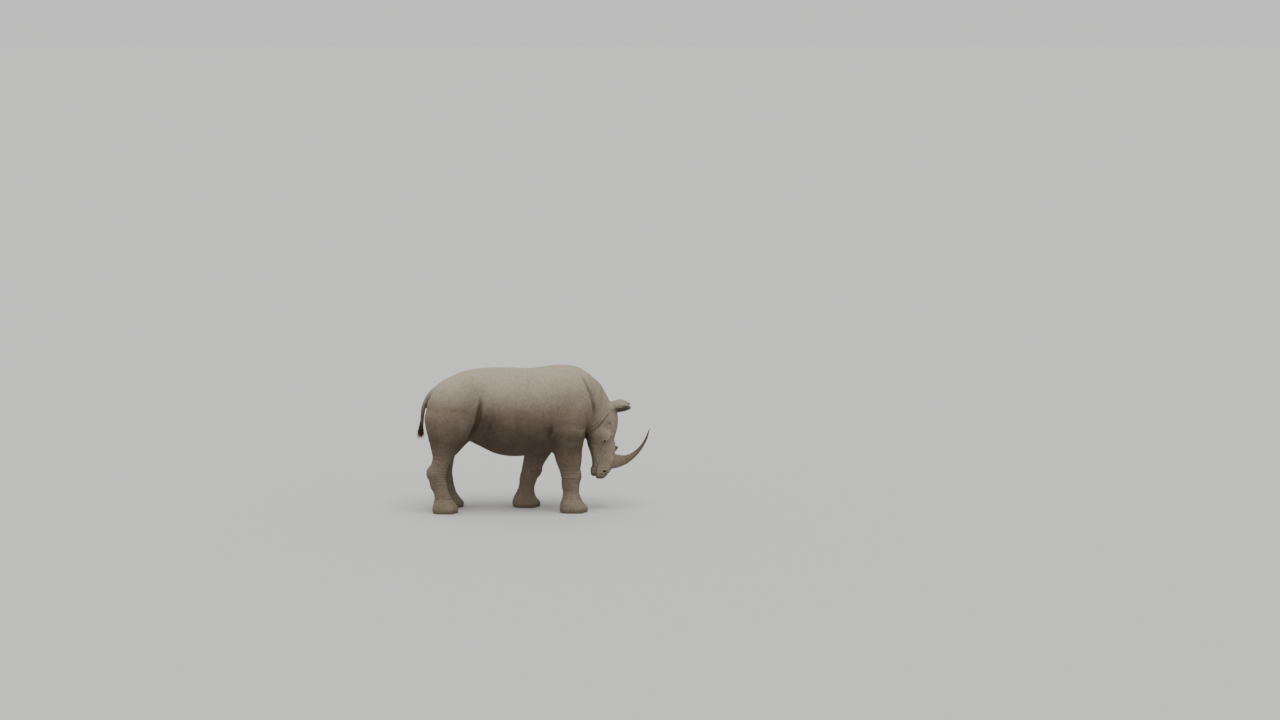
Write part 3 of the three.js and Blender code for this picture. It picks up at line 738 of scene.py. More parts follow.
# The left eye: its middle, which way it looks, the line of its slit and the direction across that.
EYE_AT = np.array([EYE["out"], EYE["forward"], EYE["up"]], float)
EYE_OUT = unit(np.array([0.93, 0.34, 0.14]))
EYE_SLIT = np.array([0.0, -0.2, -1.0])
EYE_SLIT = unit(EYE_SLIT - (EYE_SLIT @ EYE_OUT) * EYE_OUT)
EYE_ACROSS = np.cross(EYE_OUT, EYE_SLIT)


def eye_place(p):
    """Places near an eye, on the side of the face: along the slit, across it and outwards."""
    q = mirrored(p) - EYE_AT[:, None]
    return EYE_SLIT @ q, EYE_ACROSS @ q, EYE_OUT @ q


def near_eyes(p):
    near = np.abs(np.abs(p[0]) - EYE_AT[0]) < 110
    return near & (np.hypot(p[1] - EYE_AT[1], p[2] - EYE_AT[2]) < 130)


def rounded(q, centre, half, squareness):
    """A block with rounded sides, in any frame."""
    r = sum(np.abs((q[k] - centre[k]) / half[k]) ** squareness for k in range(3))
    return (r ** (1 / squareness) - 1) * min(half)


# Wrinkles round each eye: radius, depth and half width.
EYE_RINGS = ((20.5, 3.2, 2.6), (28, 4.0, 3.2), (38, 3.6, 4.0), (50, 2.6, 5.0), (64, 1.8, 6.0))
LID = {"thick": 4.5, "half_length": 18.0, "half_height": 12.5, "floor": 2.0}


def add_eyes(d, p):
    """Lids over the ball with an almond opening between them."""
    near = near_eyes(p)
    q, e = p[:, near], d[near]
    a, b, out = eye_place(q)
    lids = np.sqrt(a**2 + b**2 + out**2) - (EYE["radius"] + LID["thick"])
    e = melt(e, lids, 20)
    top = np.where(b > 0, LID["half_height"], 0.72 * LID["half_height"])
    almond = (np.abs(a / LID["half_length"]) ** 1.8 + np.abs(b / top) ** 1.8) ** (1 / 1.8)
    kept = melt((1 - almond) * LID["half_height"], out - LID["floor"], 3)
    e = cut(e, kept, 3)
    d[near] = e


def add_eye_wrinkles(d, p):
    """Rings of wrinkles round each eye, deepest on the side of the brow."""
    near = near_eyes(p)
    q, e = p[:, near], d[near]
    a, b, out = eye_place(q)
    ring = np.hypot(a / 1.3, b) + 2.2 * small(q)
    for radius, depth, width in EYE_RINGS:
        above = 0.55 + 0.45 * np.tanh(b / 14)
        around = 0.7 + 0.3 * np.cos(3 * np.arctan2(b, a) + radius)
        mark = np.exp(-(((ring - radius) / width) ** 2))
        mark = mark - 0.3 * np.exp(-(((ring - radius - 2.2 * width) / width) ** 2))
        e = e + np.where(out > 0, depth * above * around * mark, 0)
    d[near] = e


NOSTRIL = {"along": 846, "face": -98, "out": 120, "turn": 1.05, "long": 27, "short": 12}


def nostril_place(q):
    """Along the slit of the nostril, across it, and how far out from its middle."""
    u, v = head_place(q)
    du, dv = u - NOSTRIL["along"], v - NOSTRIL["face"]
    c, s = math.cos(NOSTRIL["turn"]), math.sin(NOSTRIL["turn"])
    a, b = du * c - dv * s, dv * c + du * s
    return a, b - 0.012 * a * a, np.abs(q[0]) - NOSTRIL["out"]


def add_nostrils(d, p):
    """A slit with a raised rim on each side of the muzzle."""
    near = (p[2] < 640) & (p[1] > 850)
    q, e = p[:, near], d[near]
    a, b, out = nostril_place(q)
    rim = rounded((a, b, out), (0, 0, -16), (NOSTRIL["long"] + 20, NOSTRIL["short"] + 20, 34), 2.0)
    e = melt(e, rim, 20)
    half = (NOSTRIL["long"], NOSTRIL["short"], 62)
    e = cut(e, -rounded((a + 2, b, out), (0, 0, 34), half, 2.0), 7)
    d[near] = e


LIPS = {"corner": 752, "corner_face": -176, "front": 935, "front_face": -200}


def below_mouth(u, v):
    """How far a place lies on the jaw's side of the line between the lips."""
    share = (u - LIPS["corner"]) / (LIPS["front"] - LIPS["corner"])
    line = LIPS["corner_face"] + (LIPS["front_face"] - LIPS["corner_face"]) * share
    return line - 7 * np.sin(np.pi * np.clip(share, 0, 1)) - v


def add_mouth(d, p):
    """A broad square upper lip over a narrower lower one."""
    near = (p[2] < 660) & (p[1] > 760)
    q, e = p[:, near], d[near]
    u, v = head_place(q)
    upper = rounded((u, v, q[0]), (868, -142, 0), (64, 58, 128), 3.2)
    lower = rounded((u, v, q[0]), (862, -222, 0), (58, 34, 104), 2.8)
    e = e + 12 * step(765, 850, u) * step(-2, 16, below_mouth(u, v))
    e = melt(melt(e, upper, 34), lower, 16)
    groove = np.exp(-((below_mouth(u, v) / 6.0) ** 2))
    e = e + 13 * step(740, 775, u) * groove
    d[near] = e


# The collars of skin round the horns: below the poll, and the radius.
HORN_COLLARS = ((744, 86), (592, 55))


def add_head_wrinkles(d, p):
    """Fine wrinkles on the cheeks, lips and nose, and a puckered collar round each horn."""
    near = (p[1] > 780) & (p[2] < 1290) & (np.abs(p[0]) < 240)
    q, e = p[:, near], d[near]
    u, v = head_place(q)
    x = np.abs(q[0])
    on_side = step(60, 120, x)
    cheek = on_side * step(520, 600, u) * (1 - step(740, 800, u))
    e = e + cheek * 1.3 * np.cos((v + 0.45 * u) / 6.0 + middling(q) * 2.5)
    below = below_mouth(u, v)
    lips = step(800, 860, u) * np.exp(-(((below + 4) / 26) ** 2))
    e = e + lips * 1.1 * np.cos((x + 0.6 * u) / 4.4 + 1.5 * small(q))
    nose = step(790, 830, u) * (1 - step(880, 920, u)) * step(-150, -100, v)
    e = e + nose * 1.2 * np.cos((u + 0.3 * v) / 5.4 + 1.6 * small(q))
    for along, radius in HORN_COLLARS:
        angle = np.arctan2(u - along, q[0])
        ring = np.hypot(u - along, q[0]) + 4.5 * middling(q) + 0.7 * np.cos(19 * angle + 3 * middling(q))
        front = step(-110, -70, v)
        e = e + front * 4.5 * np.exp(-(((ring - radius - 4) / 5) ** 2))
        e = e - front * 5.0 * np.exp(-(((ring - radius - 15) / 8) ** 2))
        e = e + front * 2.4 * np.exp(-(((ring - radius - 27) / 6) ** 2))
    d[near] = e


def add_leg_wrinkles(d, p):
    low = p[2] < 760
    q, e = p[:, low], d[low]
    z = q[2]
    wave = z + 13 * middling(q) + 7 * small(q)
    knee = step(300, 380, z) * (1 - step(470, 600, z))
    ankle = step(95, 130, z) * (1 - step(200, 250, z))
    d[low] = e + 1.0 * (knee + ankle) * np.cos(wave / 5.2)


def add_body_wrinkles(d, p):
    flank = step(240, 330, np.abs(p[0])) * step(760, 900, p[2]) * (1 - step(1350, 1520, p[2]))
    d += 4.5 * flank * flank_folds(p)
    d += 3.0 * broad(p) + 1.5 * middling(p) + 0.45 * small(p)
    on_neck = step(560, 700, p[1]) * step(930, 1020, p[2]) * (1 - step(1000, 1080, p[1]))
    d += 4.5 * on_neck * neck_wrinkles(p)


TOE = {"half": (54, 50, 58), "up": 42, "inset": 28, "melt": 16}


def toe_turns(name):
    """Each toe of a foot and its turn about the vertical, in radians."""
    outward = SIDES[name.split("_")[1]] * math.radians(TOE_SPREAD)
    return (("inner", -outward), ("middle", 0.0), ("outer", outward))


def toe_place(name, turn, inset):
    side = SIDES[name.split("_")[1]]
    rows = FORELEG if name.startswith("fore") else HINDLEG
    _, forward, out = STANCE[name][0]
    half, reach = rows[1][1:3]
    x = side * out + (half - inset) * math.sin(turn)
    return x, forward + (reach - inset) * math.cos(turn)


def add_toes(d, p):
    """A rounded pad for each toe."""
    low = p[2] < 190
    q, e = p[:, low], d[low]
    for name in STANCE:
        for _, turn in toe_turns(name):
            x, f = toe_place(name, turn, TOE["inset"])
            c, s = math.cos(turn), math.sin(turn)
            across, front = (q[0] - x) * c - (q[1] - f) * s, (q[1] - f) * c + (q[0] - x) * s
            pad = rounded((across, front, q[2]), (0, 0, TOE["up"]), TOE["half"], 2.2)
            e = melt(e, pad, TOE["melt"])
    d[low] = e


# Bony points of each leg: height, forward of its middle line, radii.
JOINTS = {
    "foreleg": [(425, 62, (66, 52, 70)), (330, -60, (46, 40, 60)), (820, -150, (70, 70, 110))],
    "hindleg": [
        (478, -66, (40, 50, 62)),
        (500, 40, (62, 48, 70)),
        (330, -58, (42, 36, 60)),
        (800, 40, (96, 100, 120)),
    ],
}


def joint_masses():
    masses = []
    for name in STANCE:
        kind, side = name.split("_")
        for up, ahead, radii in JOINTS[kind]:
            forward, out = track(STANCE[name])(up)
            masses.append(one((SIDES[side] * float(out), float(forward) + ahead, up), radii, 44))
    return masses


JOINT_MASSES = joint_masses()


def plain_field(p, ear="thick"):
    """The whole animal without its folds. The thick ears are for laying out the mesh."""
    d = trunk(p)
    for piece in MUSCLES:
        piece.melt_into(d, p)
    neck.melt_into(d, p)
    near = skull.near(p)
    d[near] = melt(d[near], head_field(p[:, near]), skull.radius)
    for piece in [*LEGS.values(), *JOINT_MASSES]:
        piece.melt_into(d, p)
    near = tail.near(p)
    soft = 6 + 50 * step(1240, 1380, p[2][near])
    d[near] = melt(d[near], tail.field(p[:, near]), soft)
    ears[ear].melt_into(d, p)
    add_mouth(d, p)
    add_nostrils(d, p)
    add_eyes(d, p)
    add_toes(d, p)
    return cut(d, -p[2], 14)


DEEP = 15  # an overhung fold deeper than this gets a finer mesh
BROAD = 24  # wider folds than this are not darkened with dirt and painted shade
FULL_OF_DIRT_AND_SHADE = 18  # depth of a fold that is fully darkened by its dirt and painted shade

# How pale the hide is, from damp and dark at 0 to pale and dry at 1, by height above the floor: dust, and
# painted shade. Dust lies thick on the back and thins out down to the belly, which is stained and also
# darkened with painted shade. Grass brushes dust back on to the legs.
DUST_AND_SHADE_BY_HEIGHT = [
    (0, 0.56),
    (350, 0.5),
    (600, 0.46),
    (780, 0.15),
    (950, 0.24),
    (1150, 0.44),
    (1300, 0.72),
    (1450, 0.92),
    (1700, 1.0),
]
DUST_AND_SHADE_ON_HEAD = 0.72
HEAD_FROM = (700, 880)  # how far forward the head's own level of dust and painted shade starts and holds fully
# Where dust is rubbed off or gathers, and where hollows are darkened as painted shade: forward, up, half
# length, half height and how much more of it there is.
DUST_AND_SHADE_PATCHES = {
    "rump": (-900, 1040, 260, 240, 0.12),
    "back of the thigh": (-900, 720, 160, 130, 0.22),
    # painted shade in the hollow in front of the thigh
    "flank hollow, painted shade": (-405, 1080, 150, 190, -0.26),
    "shoulder": (570, 1110, 180, 140, 0.14),
    # painted shade in the hollow behind the elbow
    "elbow hollow, painted shade": (340, 860, 110, 140, -0.14),
    "forehead": (1050, 900, 110, 320, 0.12),
    "muzzle": (950, 410, 120, 110, -0.16),
    "ears": (1160, 1200, 90, 90, 0.14),
    "withers": (540, 1370, 170, 90, -0.14),
}

LINES = []


def body_field(p):
    d = plain_field(p, "thin")
    for line in LINES:
        line.add(d, p)
    add_head_wrinkles(d, p)
    add_eye_wrinkles(d, p)
    add_leg_wrinkles(d, p)
    add_body_wrinkles(d, p)
    return cut(d, -p[2], 6)


# ------------------------------------------------------------ polygonising


def sample(field, low, cell, count):
    """The field on a grid. Where a coarse look finds no surface near, the coarse value stands."""
    coarse = 4
    n = [-(-c // coarse) + 1 for c in count]
    axes = [low[k] + cell * coarse * np.arange(n[k]) for k in range(3)]
    p = np.stack(np.meshgrid(*axes, indexing="ij")).reshape(3, -1)
    rough = field(p).reshape(n)
    value = rough.repeat(coarse, 0).repeat(coarse, 1).repeat(coarse, 2)
    value = value[: count[0], : count[1], : count[2]].astype(np.float32)
    near = np.abs(value) < 2.4 * coarse * cell
    i = np.nonzero(near)
    p = np.stack([low[k] + cell * i[k] for k in range(3)]).astype(float)
    value[i] = field(p)
    return value


def surface_net(value, low, cell):
    """Vertices and quads of a sampled field's zero surface."""
    inside = value < 0
    shape = np.array(value.shape)
    strides = np.array([shape[1] * shape[2], shape[2], 1])
    cells, places, turned = [], [], []
    for axis in range(3):
        a = [slice(None)] * 3
        b = [slice(None)] * 3
        a[axis], b[axis] = slice(0, -1), slice(1, None)
        crossing = inside[tuple(a)] != inside[tuple(b)]
        at = np.stack(np.nonzero(crossing))
        v0, v1 = value[tuple(a)][crossing], value[tuple(b)][crossing]
        place = at.astype(float)
        place[axis] += v0 / (v0 - v1)
        u, v = (axis + 1) % 3, (axis + 2) % 3
        ring = []
        for p, q in ((0, 0), (1, 0), (1, 1), (0, 1)):
            n = at.copy()
            n[u] -= p
            n[v] -= q
            ring.append(strides @ n)
        cells.append(np.stack(ring, 1))
        places.append(place.T)
        turned.append(v0 > 0)
    cells, places, turned = np.vstack(cells), np.vstack(places), np.concatenate(turned)
    ids, corner = np.unique(cells, return_inverse=True)
    corner = corner.reshape(-1)
    total = np.bincount(corner, minlength=len(ids))
    vertices = np.stack(
        [np.bincount(corner, np.repeat(places[:, k], 4), len(ids)) / total for k in range(3)], 1
    )
    quads = corner.reshape(-1, 4)
    quads[turned] = quads[turned][:, ::-1]
    return vertices * cell + np.asarray(low, float), quads


def onto(field, points, rounds, most, probe):
    """Points moved onto the field's surface by Newton steps, none further than `most` in a step."""
    p = points.T.copy()
    for _ in range(rounds):
        d = field(p)
        slope = np.empty_like(p)
        for k in range(3):
            q = p.copy()
            q[k] += probe
            slope[k] = (field(q) - d) / probe
        move = d / np.maximum((slope**2).sum(0), 0.2) * slope
        size = np.sqrt((move**2).sum(0))
        p -= move * np.minimum(1, most / np.maximum(size, 1e-9))
    return p.T


def divide(vertices, quads, others, chosen):
    """Each chosen quad becomes four. A neighbour takes the new points and becomes one of `others`."""
    edges = np.stack([quads, np.roll(quads, -1, 1)], 2)
    keys = np.sort(edges.reshape(-1, 2), 1)
    keys = keys[:, 0].astype(np.int64) * len(vertices) + keys[:, 1]
    split = np.unique(keys.reshape(-1, 4)[chosen])
    ends = np.stack([split // len(vertices), split % len(vertices)], 1)
    halfway = vertices[ends].mean(1)
    centres = vertices[quads[chosen]].mean(1)
    made = np.vstack([vertices, halfway, centres])
    place = np.searchsorted(split, keys).clip(0, len(split) - 1)
    middle = np.where(split[place] == keys, len(vertices) + place, -1).reshape(-1, 4)

    m, q = middle[chosen], quads[chosen]
    hub = len(vertices) + len(split) + np.arange(len(q))
    parts = [np.stack([q[:, k], m[:, k], hub, m[:, k - 1]], 1) for k in range(4)]
    touched = ~chosen & (middle >= 0).any(1)
    for corner, halves in zip(quads[touched], middle[touched]):
        face = []
        for c, h in zip(corner, halves):
            face.append(c)
            if h >= 0:
                face.append(h)
        others.append(face)
    return made, np.vstack([quads[~chosen & ~touched], *parts]), others


def mesh_object(name, vertices, faces, material, smooth=True):
    data = bpy.data.meshes.new(name)
    data.from_pydata([tuple(v) for v in vertices], [], [tuple(int(i) for i in f) for f in faces])
    data.validate()
    data.update()
    data.polygons.foreach_set("use_smooth", [smooth] * len(data.polygons))
    ob = bpy.data.objects.new(name, data)
    bpy.context.scene.collection.objects.link(ob)
    data.materials.append(material)
    return ob


CELL = 9.0
GRID_LOW = (-560.0, -1240.0, -40.0)
GRID_SIZE = (1120, 2560, 1800)


def relax(vertices, faces, moving, share=0.5):
    """Moves each chosen vertex part of the way to the middle of its neighbours."""
    ends = np.vstack([np.stack([faces[:, k], faces[:, (k + 1) % 4]], 1) for k in range(4)])
    ends = np.vstack([ends, ends[:, ::-1]])
    count = np.bincount(ends[:, 0], minlength=len(vertices))
    sums = [np.bincount(ends[:, 0], vertices[ends[:, 1], k], len(vertices)) for k in range(3)]
    middle = np.stack(sums, 1) / np.maximum(count, 1)[:, None]
    chosen = moving & (count > 0)
    result = vertices.copy()
    result[chosen] += share * (middle[chosen] - vertices[chosen])
    return result


def refine(vertices, quads, others, where, cell, fitting=3):
    """Divides the quads whose middles lie in the region and fits the new surface to the field."""
    middles = vertices[quads].mean(1)
    chosen = where(middles.T)
    vertices, quads, others = divide(vertices, quads, others, chosen)
    inner = np.zeros(len(vertices), bool)
    inner[quads[where(vertices[quads].mean(1).T)]] = True
    for _ in range(fitting):
        vertices = relax(vertices, quads, inner, 0.35)
        vertices = fit(vertices, inner, cell)
    return vertices, quads, others


def fit(vertices, moving, cell):
    vertices = vertices.copy()
    vertices[moving] = onto(body_field, vertices[moving], 1, cell / 2, cell / 8)
    return vertices


def in_head_or_leg(p):
    head = (p[1] > 790) & (p[2] < 1330)
    tail_tip = (p[1] < -1062) & (np.abs(p[0]) < 60) & (p[2] > 900)
    return head | (p[2] < 625) | tail_tip


def in_deep_fold(p):
    """Close to one of the folds that the skin hangs over."""
    q = mirrored(p)
    found = np.zeros(p.shape[1], bool)
    for line in LINES:
        if line.over and line.height > DEEP:
            near = in_box(q, line.low, line.high)
            found[near] |= line_distance(q[:, near], line.line)[0] < 2.2 * line.width
    return found


def in_half_cells(p):
    return in_head_or_leg(p) | in_deep_fold(p)


def in_fine_part(p):
    eye = (np.hypot(p[1] - EYE["forward"], p[2] - EYE["up"]) < 85) & (np.abs(p[0]) > 90)
    ear = (p[1] > 1035) & (p[2] > 1085) & (np.abs(p[0]) > 50)
    return eye | ear | ((p[2] < 620) & (p[1] > 830))


def in_lids_or_nostril(p):
    eye = (np.hypot(p[1] - EYE["forward"], p[2] - EYE["up"]) < 36) & (np.abs(p[0]) > 110)
    a, b, out = nostril_place(p)
    return eye | ((np.hypot(a, b) < 42) & (out > -40))


def make_skin(material):
    """One skin over all the flesh, its mesh finer where the detail is."""
    low = np.array(GRID_LOW)
    count = [int(v) for v in np.ceil(np.array(GRID_SIZE) / CELL)]
    vertices, quads = surface_net(sample(plain_field, low, CELL, count), low, CELL)
    everywhere = np.ones(len(vertices), bool)
    vertices = onto(plain_field, vertices, 1, CELL / 2, 2.0)
    for _ in range(3):
        vertices = relax(vertices, quads, everywhere, 0.3)
        vertices = fit(vertices, everywhere, CELL)
    vertices, quads, others = refine(vertices, quads, [], in_half_cells, CELL / 2)
    vertices, quads, others = refine(vertices, quads, others, in_fine_part, CELL / 4)
    vertices, quads, others = refine(vertices, quads, others, in_lids_or_nostril, CELL / 8)
    skin = mesh_object("skin", placed(vertices), [*quads.tolist(), *others], material)
    mark_creases(skin, vertices)
    mark_dust_and_shade(skin, vertices)
    return skin


def store(ob, name, values):
    layer = ob.data.attributes.new(name, "FLOAT", "POINT")
    layer.data.foreach_set("value", np.asarray(values, np.float32))


def mark_creases(skin, vertices):
    """Stores how deep each place lies in a fold, from 0 to 1, for the dirt and painted shade that darken the
    folds.
    """
    p = vertices.T.copy()
    depth = np.zeros(len(vertices))
    for line in LINES:
        if line.height > 0 and line.width < BROAD:
            line.add(depth, p, 1 / FULL_OF_DIRT_AND_SHADE)
    store(skin, "crease", np.clip(depth, 0, 1))


def mark_dust_and_shade(skin, vertices):
    """Stores how dusty each place is, from 0 to 1, with painted shade low on the trunk and in its hollows.
    """
    forward, up = vertices[:, 1], vertices[:, 2]
    dust_and_shade = track(DUST_AND_SHADE_BY_HEIGHT)(up)[0]
    dust_and_shade = dust_and_shade + (DUST_AND_SHADE_ON_HEAD - dust_and_shade) * step(*HEAD_FROM, forward)
    for ahead, height, long, tall, more in DUST_AND_SHADE_PATCHES.values():
        dust_and_shade = dust_and_shade + more * np.exp(-(((forward - ahead) / long) ** 2) - ((up - height) / tall) ** 2)
    store(skin, "dust_and_shade", np.clip(dust_and_shade, 0, 1))


# ------------------------------------------------------------ horns, eyes and nails


def sweep(spec, rings, sides):
    """Rings round a horn's middle line, its places along and around, and its faces."""
    line = smooth_line([(0, f, z) for f, z in spec["line"]], rings)
    tangent = np.gradient(line, axis=0)
    tangent /= np.linalg.norm(tangent, axis=1)[:, None]
    up = np.cross([1, 0, 0], tangent)
    t = np.linspace(0, 1, rings)
    angle = np.linspace(0, 2 * np.pi, sides, endpoint=False)
    radius = track(spec["radius"])(t)[0][:, None]
    groove = RANDOM.uniform(-1, 1, sides)
    groove = (groove + np.roll(groove, 1) + np.roll(groove, -1)) / 2.2
    rough = (1 - step(0.25, 0.8, t))[:, None]
    bands = np.cos(26 * t + 1.4 * np.sin(9 * t))[:, None] + 0.7 * np.cos(71 * t)[:, None]
    radius = radius * (1 + 0.018 * rough * groove[None] + 0.012 * rough * bands)
    x = radius * spec["flatness"] * np.cos(angle)
    y = radius * np.sin(angle)
    points = line[:, None] + x[..., None] * [1, 0, 0] + y[..., None] * up[:, None]
    points = points.reshape(-1, 3)
    i, j = np.meshgrid(np.arange(rings - 1), np.arange(sides), indexing="ij")
    a, b = i * sides + j, i * sides + (j + 1) % sides
    quads = np.stack([a, b, b + sides, a + sides], -1).reshape(-1, 4)
    faces = quads.tolist()
    tip = len(points)
    points = np.vstack([points, line[-1] + tangent[-1] * 3.0])
    last = (rings - 1) * sides
    faces += [[last + j, last + (j + 1) % sides, tip] for j in range(sides)]
    faces.append(list(range(sides))[::-1])
    along = np.r_[np.repeat(t, sides), 1]
    around = np.r_[np.tile(angle, rings), 0]
    return points, faces, along, around


def face_outwards(ob):
    bpy.context.view_layer.objects.active = ob
    bpy.ops.object.select_all(action="DESELECT")
    ob.select_set(True)
    bpy.ops.object.mode_set(mode="EDIT")
    bpy.ops.mesh.select_all(action="SELECT")
    bpy.ops.mesh.normals_make_consistent(inside=False)
    bpy.ops.object.mode_set(mode="OBJECT")


HORN_SIDES = 96


def make_horn(name, spec, rings, material):
    points, faces, along, around = sweep(spec, rings, HORN_SIDES)
    horn = mesh_object(f"{name}_fibre", placed(points), faces, material)
    face_outwards(horn)
    layer = horn.data.attributes.new("fibre", "FLOAT_VECTOR", "POINT")
    places = np.stack([np.cos(around), np.sin(around), along], 1)
    layer.data.foreach_set("vector", places.astype(np.float32).ravel())
    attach(horn, "root")
    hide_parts(name)


def ball(rows, columns):
    """A unit ball as points and faces, its poles on the first axis."""
    points, faces = [(1, 0, 0)], []
    for i in range(1, rows):
        a = math.pi * i / rows
        for j in range(columns):
            b = 2 * math.pi * j / columns
            points.append((math.cos(a), math.sin(a) * math.cos(b), math.sin(a) * math.sin(b)))
    points.append((-1, 0, 0))
    for j in range(columns):
        k = (j + 1) % columns
        faces.append([0, 1 + j, 1 + k])
        for i in range(rows - 2):
            a = 1 + i * columns
            faces.append([a + j, a + columns + j, a + columns + k, a + k])
        a = 1 + (rows - 2) * columns
        faces.append([a + k, a + j, len(points) - 1])
    return np.array(points), faces


def make_eye(side_name, material):
    side = SIDES[side_name]
    points, faces = ball(40, 48)
    across = unit(np.cross([0, 0, 1], EYE_OUT))
    up = np.cross(EYE_OUT, across)
    turned = points[:, :1] * EYE_OUT + points[:, 1:2] * across + points[:, 2:] * up
    bulge = 1 + 0.05 * np.exp(-(((1 - points[:, 0]) / 0.12) ** 2))
    places = EYE_AT + turned * EYE["radius"] * bulge[:, None]
    places[:, 0] *= side
    eye = mesh_object(f"eyeball_{side_name}", placed(places), faces, material)
    face_outwards(eye)
    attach(eye, "root")
    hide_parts(f"eye_{side_name}")
    layer = eye.data.attributes.new("from_axis", "FLOAT", "POINT")
    layer.data.foreach_set("value", np.arccos(np.clip(points[:, 0], -1, 1)).astype(np.float32))


# Each toe's nail: how far it spreads to each side, and its height.
NAIL_SHAPE = {"middle": (70, 66), "inner": (58, 58), "outer": (58, 58)}


def make_nails(name, material):
    """A broad horny plate on the front of each toe."""
    across = np.linspace(-1, 1, 33)
    up = np.linspace(0, 1, 21)
    a, h = (g.ravel() for g in np.meshgrid(across, up, indexing="ij"))
    columns = len(up)
    for toe, turn in toe_turns(name):
        wide, tall = NAIL_SHAPE[toe]
        x0, f0 = toe_place(name, turn, TOE["inset"] + 14)
        arch = tall * (1 - np.abs(a) ** 2.6) ** 0.5
        angle = turn + a * wide / 84
        z = 3 + h * np.maximum(arch, 5)
        seeds = np.stack([x0 + 74 * np.sin(angle), f0 + 74 * np.cos(angle), z], 1)
        surface = onto(plain_field, seeds, 5, 12.0, 1.0)
        surface[:, 2] = np.maximum(surface[:, 2], 3)
        probe = onto(lambda p: plain_field(p) - 10, surface, 3, 12.0, 1.0)
        normal = probe - surface
        normal[:, 2] *= 0.3
        normal /= np.linalg.norm(normal, axis=1)[:, None]
        rim = np.maximum(np.abs(a), np.abs(2 * h - 1) * (h > 0.5))
        swell = 8.5 * (1 - rim**5) - 3.0 + 2.0 * (1 - h) ** 2 * (1 - rim**5)
        ridges = 0.35 * np.cos(z / 2.4 + 2 * a) + 0.45 * np.cos(a * 21) + 0.3 * np.cos(z / 7.5 - a)
        front = surface + normal * (swell + ridges * (1 - rim**4))[:, None]
        back = surface - normal * 9
        bottom = 1.5 + 1.5 * np.abs(a)
        for sheet in (front, back):
            sheet[:, 2] = np.maximum(sheet[:, 2], bottom)
            foot = h == 0
            sheet[foot, 2] = bottom[foot]
        n = len(front)
        grid = [[i * columns + j for j in range(columns)] for i in range(len(across))]
        faces = []
        for i in range(len(across) - 1):
            for j in range(columns - 1):
                quad = [grid[i][j], grid[i + 1][j], grid[i + 1][j + 1], grid[i][j + 1]]
                faces.append(quad)
                faces.append([n + k for k in quad[::-1]])
        loop = [row[0] for row in grid] + grid[-1][1:]
        loop += [row[-1] for row in grid[-2::-1]] + grid[0][-2:0:-1]
        for b, c in zip(loop, loop[1:] + loop[:1]):
            faces.append([b, c, n + c, n + b])
        plate = mesh_object(f"plate_{name}_{toe}", placed(np.vstack([front, back])), faces, material)
        face_outwards(plate)
        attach(plate, "root")
        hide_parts(f"nail_{name}_{toe}")


# ------------------------------------------------------------ bristles


def strands(roots, directions, lengths, thickness, bend, sides=3, rings=5):
    """Tapering curved bristles as one mesh: points, faces and the root that each point grows from."""
    n = len(roots)
    t = np.linspace(0, 1, rings)
    directions = directions / np.linalg.norm(directions, axis=1)[:, None]
    helper = np.where(np.abs(directions[:, :1]) < 0.8, [[1.0, 0, 0]], [[0, 1.0, 0]])
    a = np.cross(directions, helper)
    a /= np.linalg.norm(a, axis=1)[:, None]
    b = np.cross(directions, a)
    middle = (
        roots[:, None]
        + directions[:, None] * (lengths[:, None] * t)[..., None]
        + bend[:, None] * (lengths[:, None] * t**2)[..., None]
    )
    angle = 2 * np.pi * np.arange(sides) / sides
    ring = a[:, None] * np.cos(angle)[None, :, None] + b[:, None] * np.sin(angle)[None, :, None]
    width = thickness[:, None] * (1 - 0.85 * t)
    points = middle[:, :, None] + ring[:, None] * width[..., None, None]
    points = points.reshape(-1, 3)
    faces = []
    per = rings * sides
    for k in range(n):
        start = k * per
        for r in range(rings - 1):
            for s in range(sides):
                p, q = start + r * sides + s, start + r * sides + (s + 1) % sides
                faces.append([p, q, q + sides, p + sides])
        faces.append([start + s for s in range(sides)][::-1])
        faces.append([start + (rings - 1) * sides + s for s in range(sides)])
    return points, faces, np.repeat(np.arange(n), per)


def patch_map(ob, strand_of, count):
    """The bake's map: each bristle has a small patch of its own, in rows across the square."""
    columns = math.ceil(math.sqrt(count))
    places = np.stack([strand_of % columns, strand_of // columns], 1) + 0.5
    vertex = np.empty(len(ob.data.loops), np.int32)
    ob.data.loops.foreach_get("vertex_index", vertex)
    position = np.array([v.co for v in ob.data.vertices])[vertex]
    spread = np.stack([position[:, 0] + position[:, 1], position[:, 2]], 1) * 300.0 % 1.0 - 0.5
    uv = (places[vertex] + 0.6 * spread) / columns
    layer = ob.data.uv_layers.new(name="OFBake")
    layer.data.foreach_set("uv", uv.astype(np.float32).ravel())


# How many bristles, the range of their lengths before some gain more, and their radius at the root.
TUFT = {"count": 760, "length": (85, 150), "thickness": (1.1, 1.9)}
FRINGE = {"count": 520, "length": (9, 19), "thickness": (0.5, 0.8)}
LASHES = {"count": 34, "length": (14, 21), "thickness": 0.55}


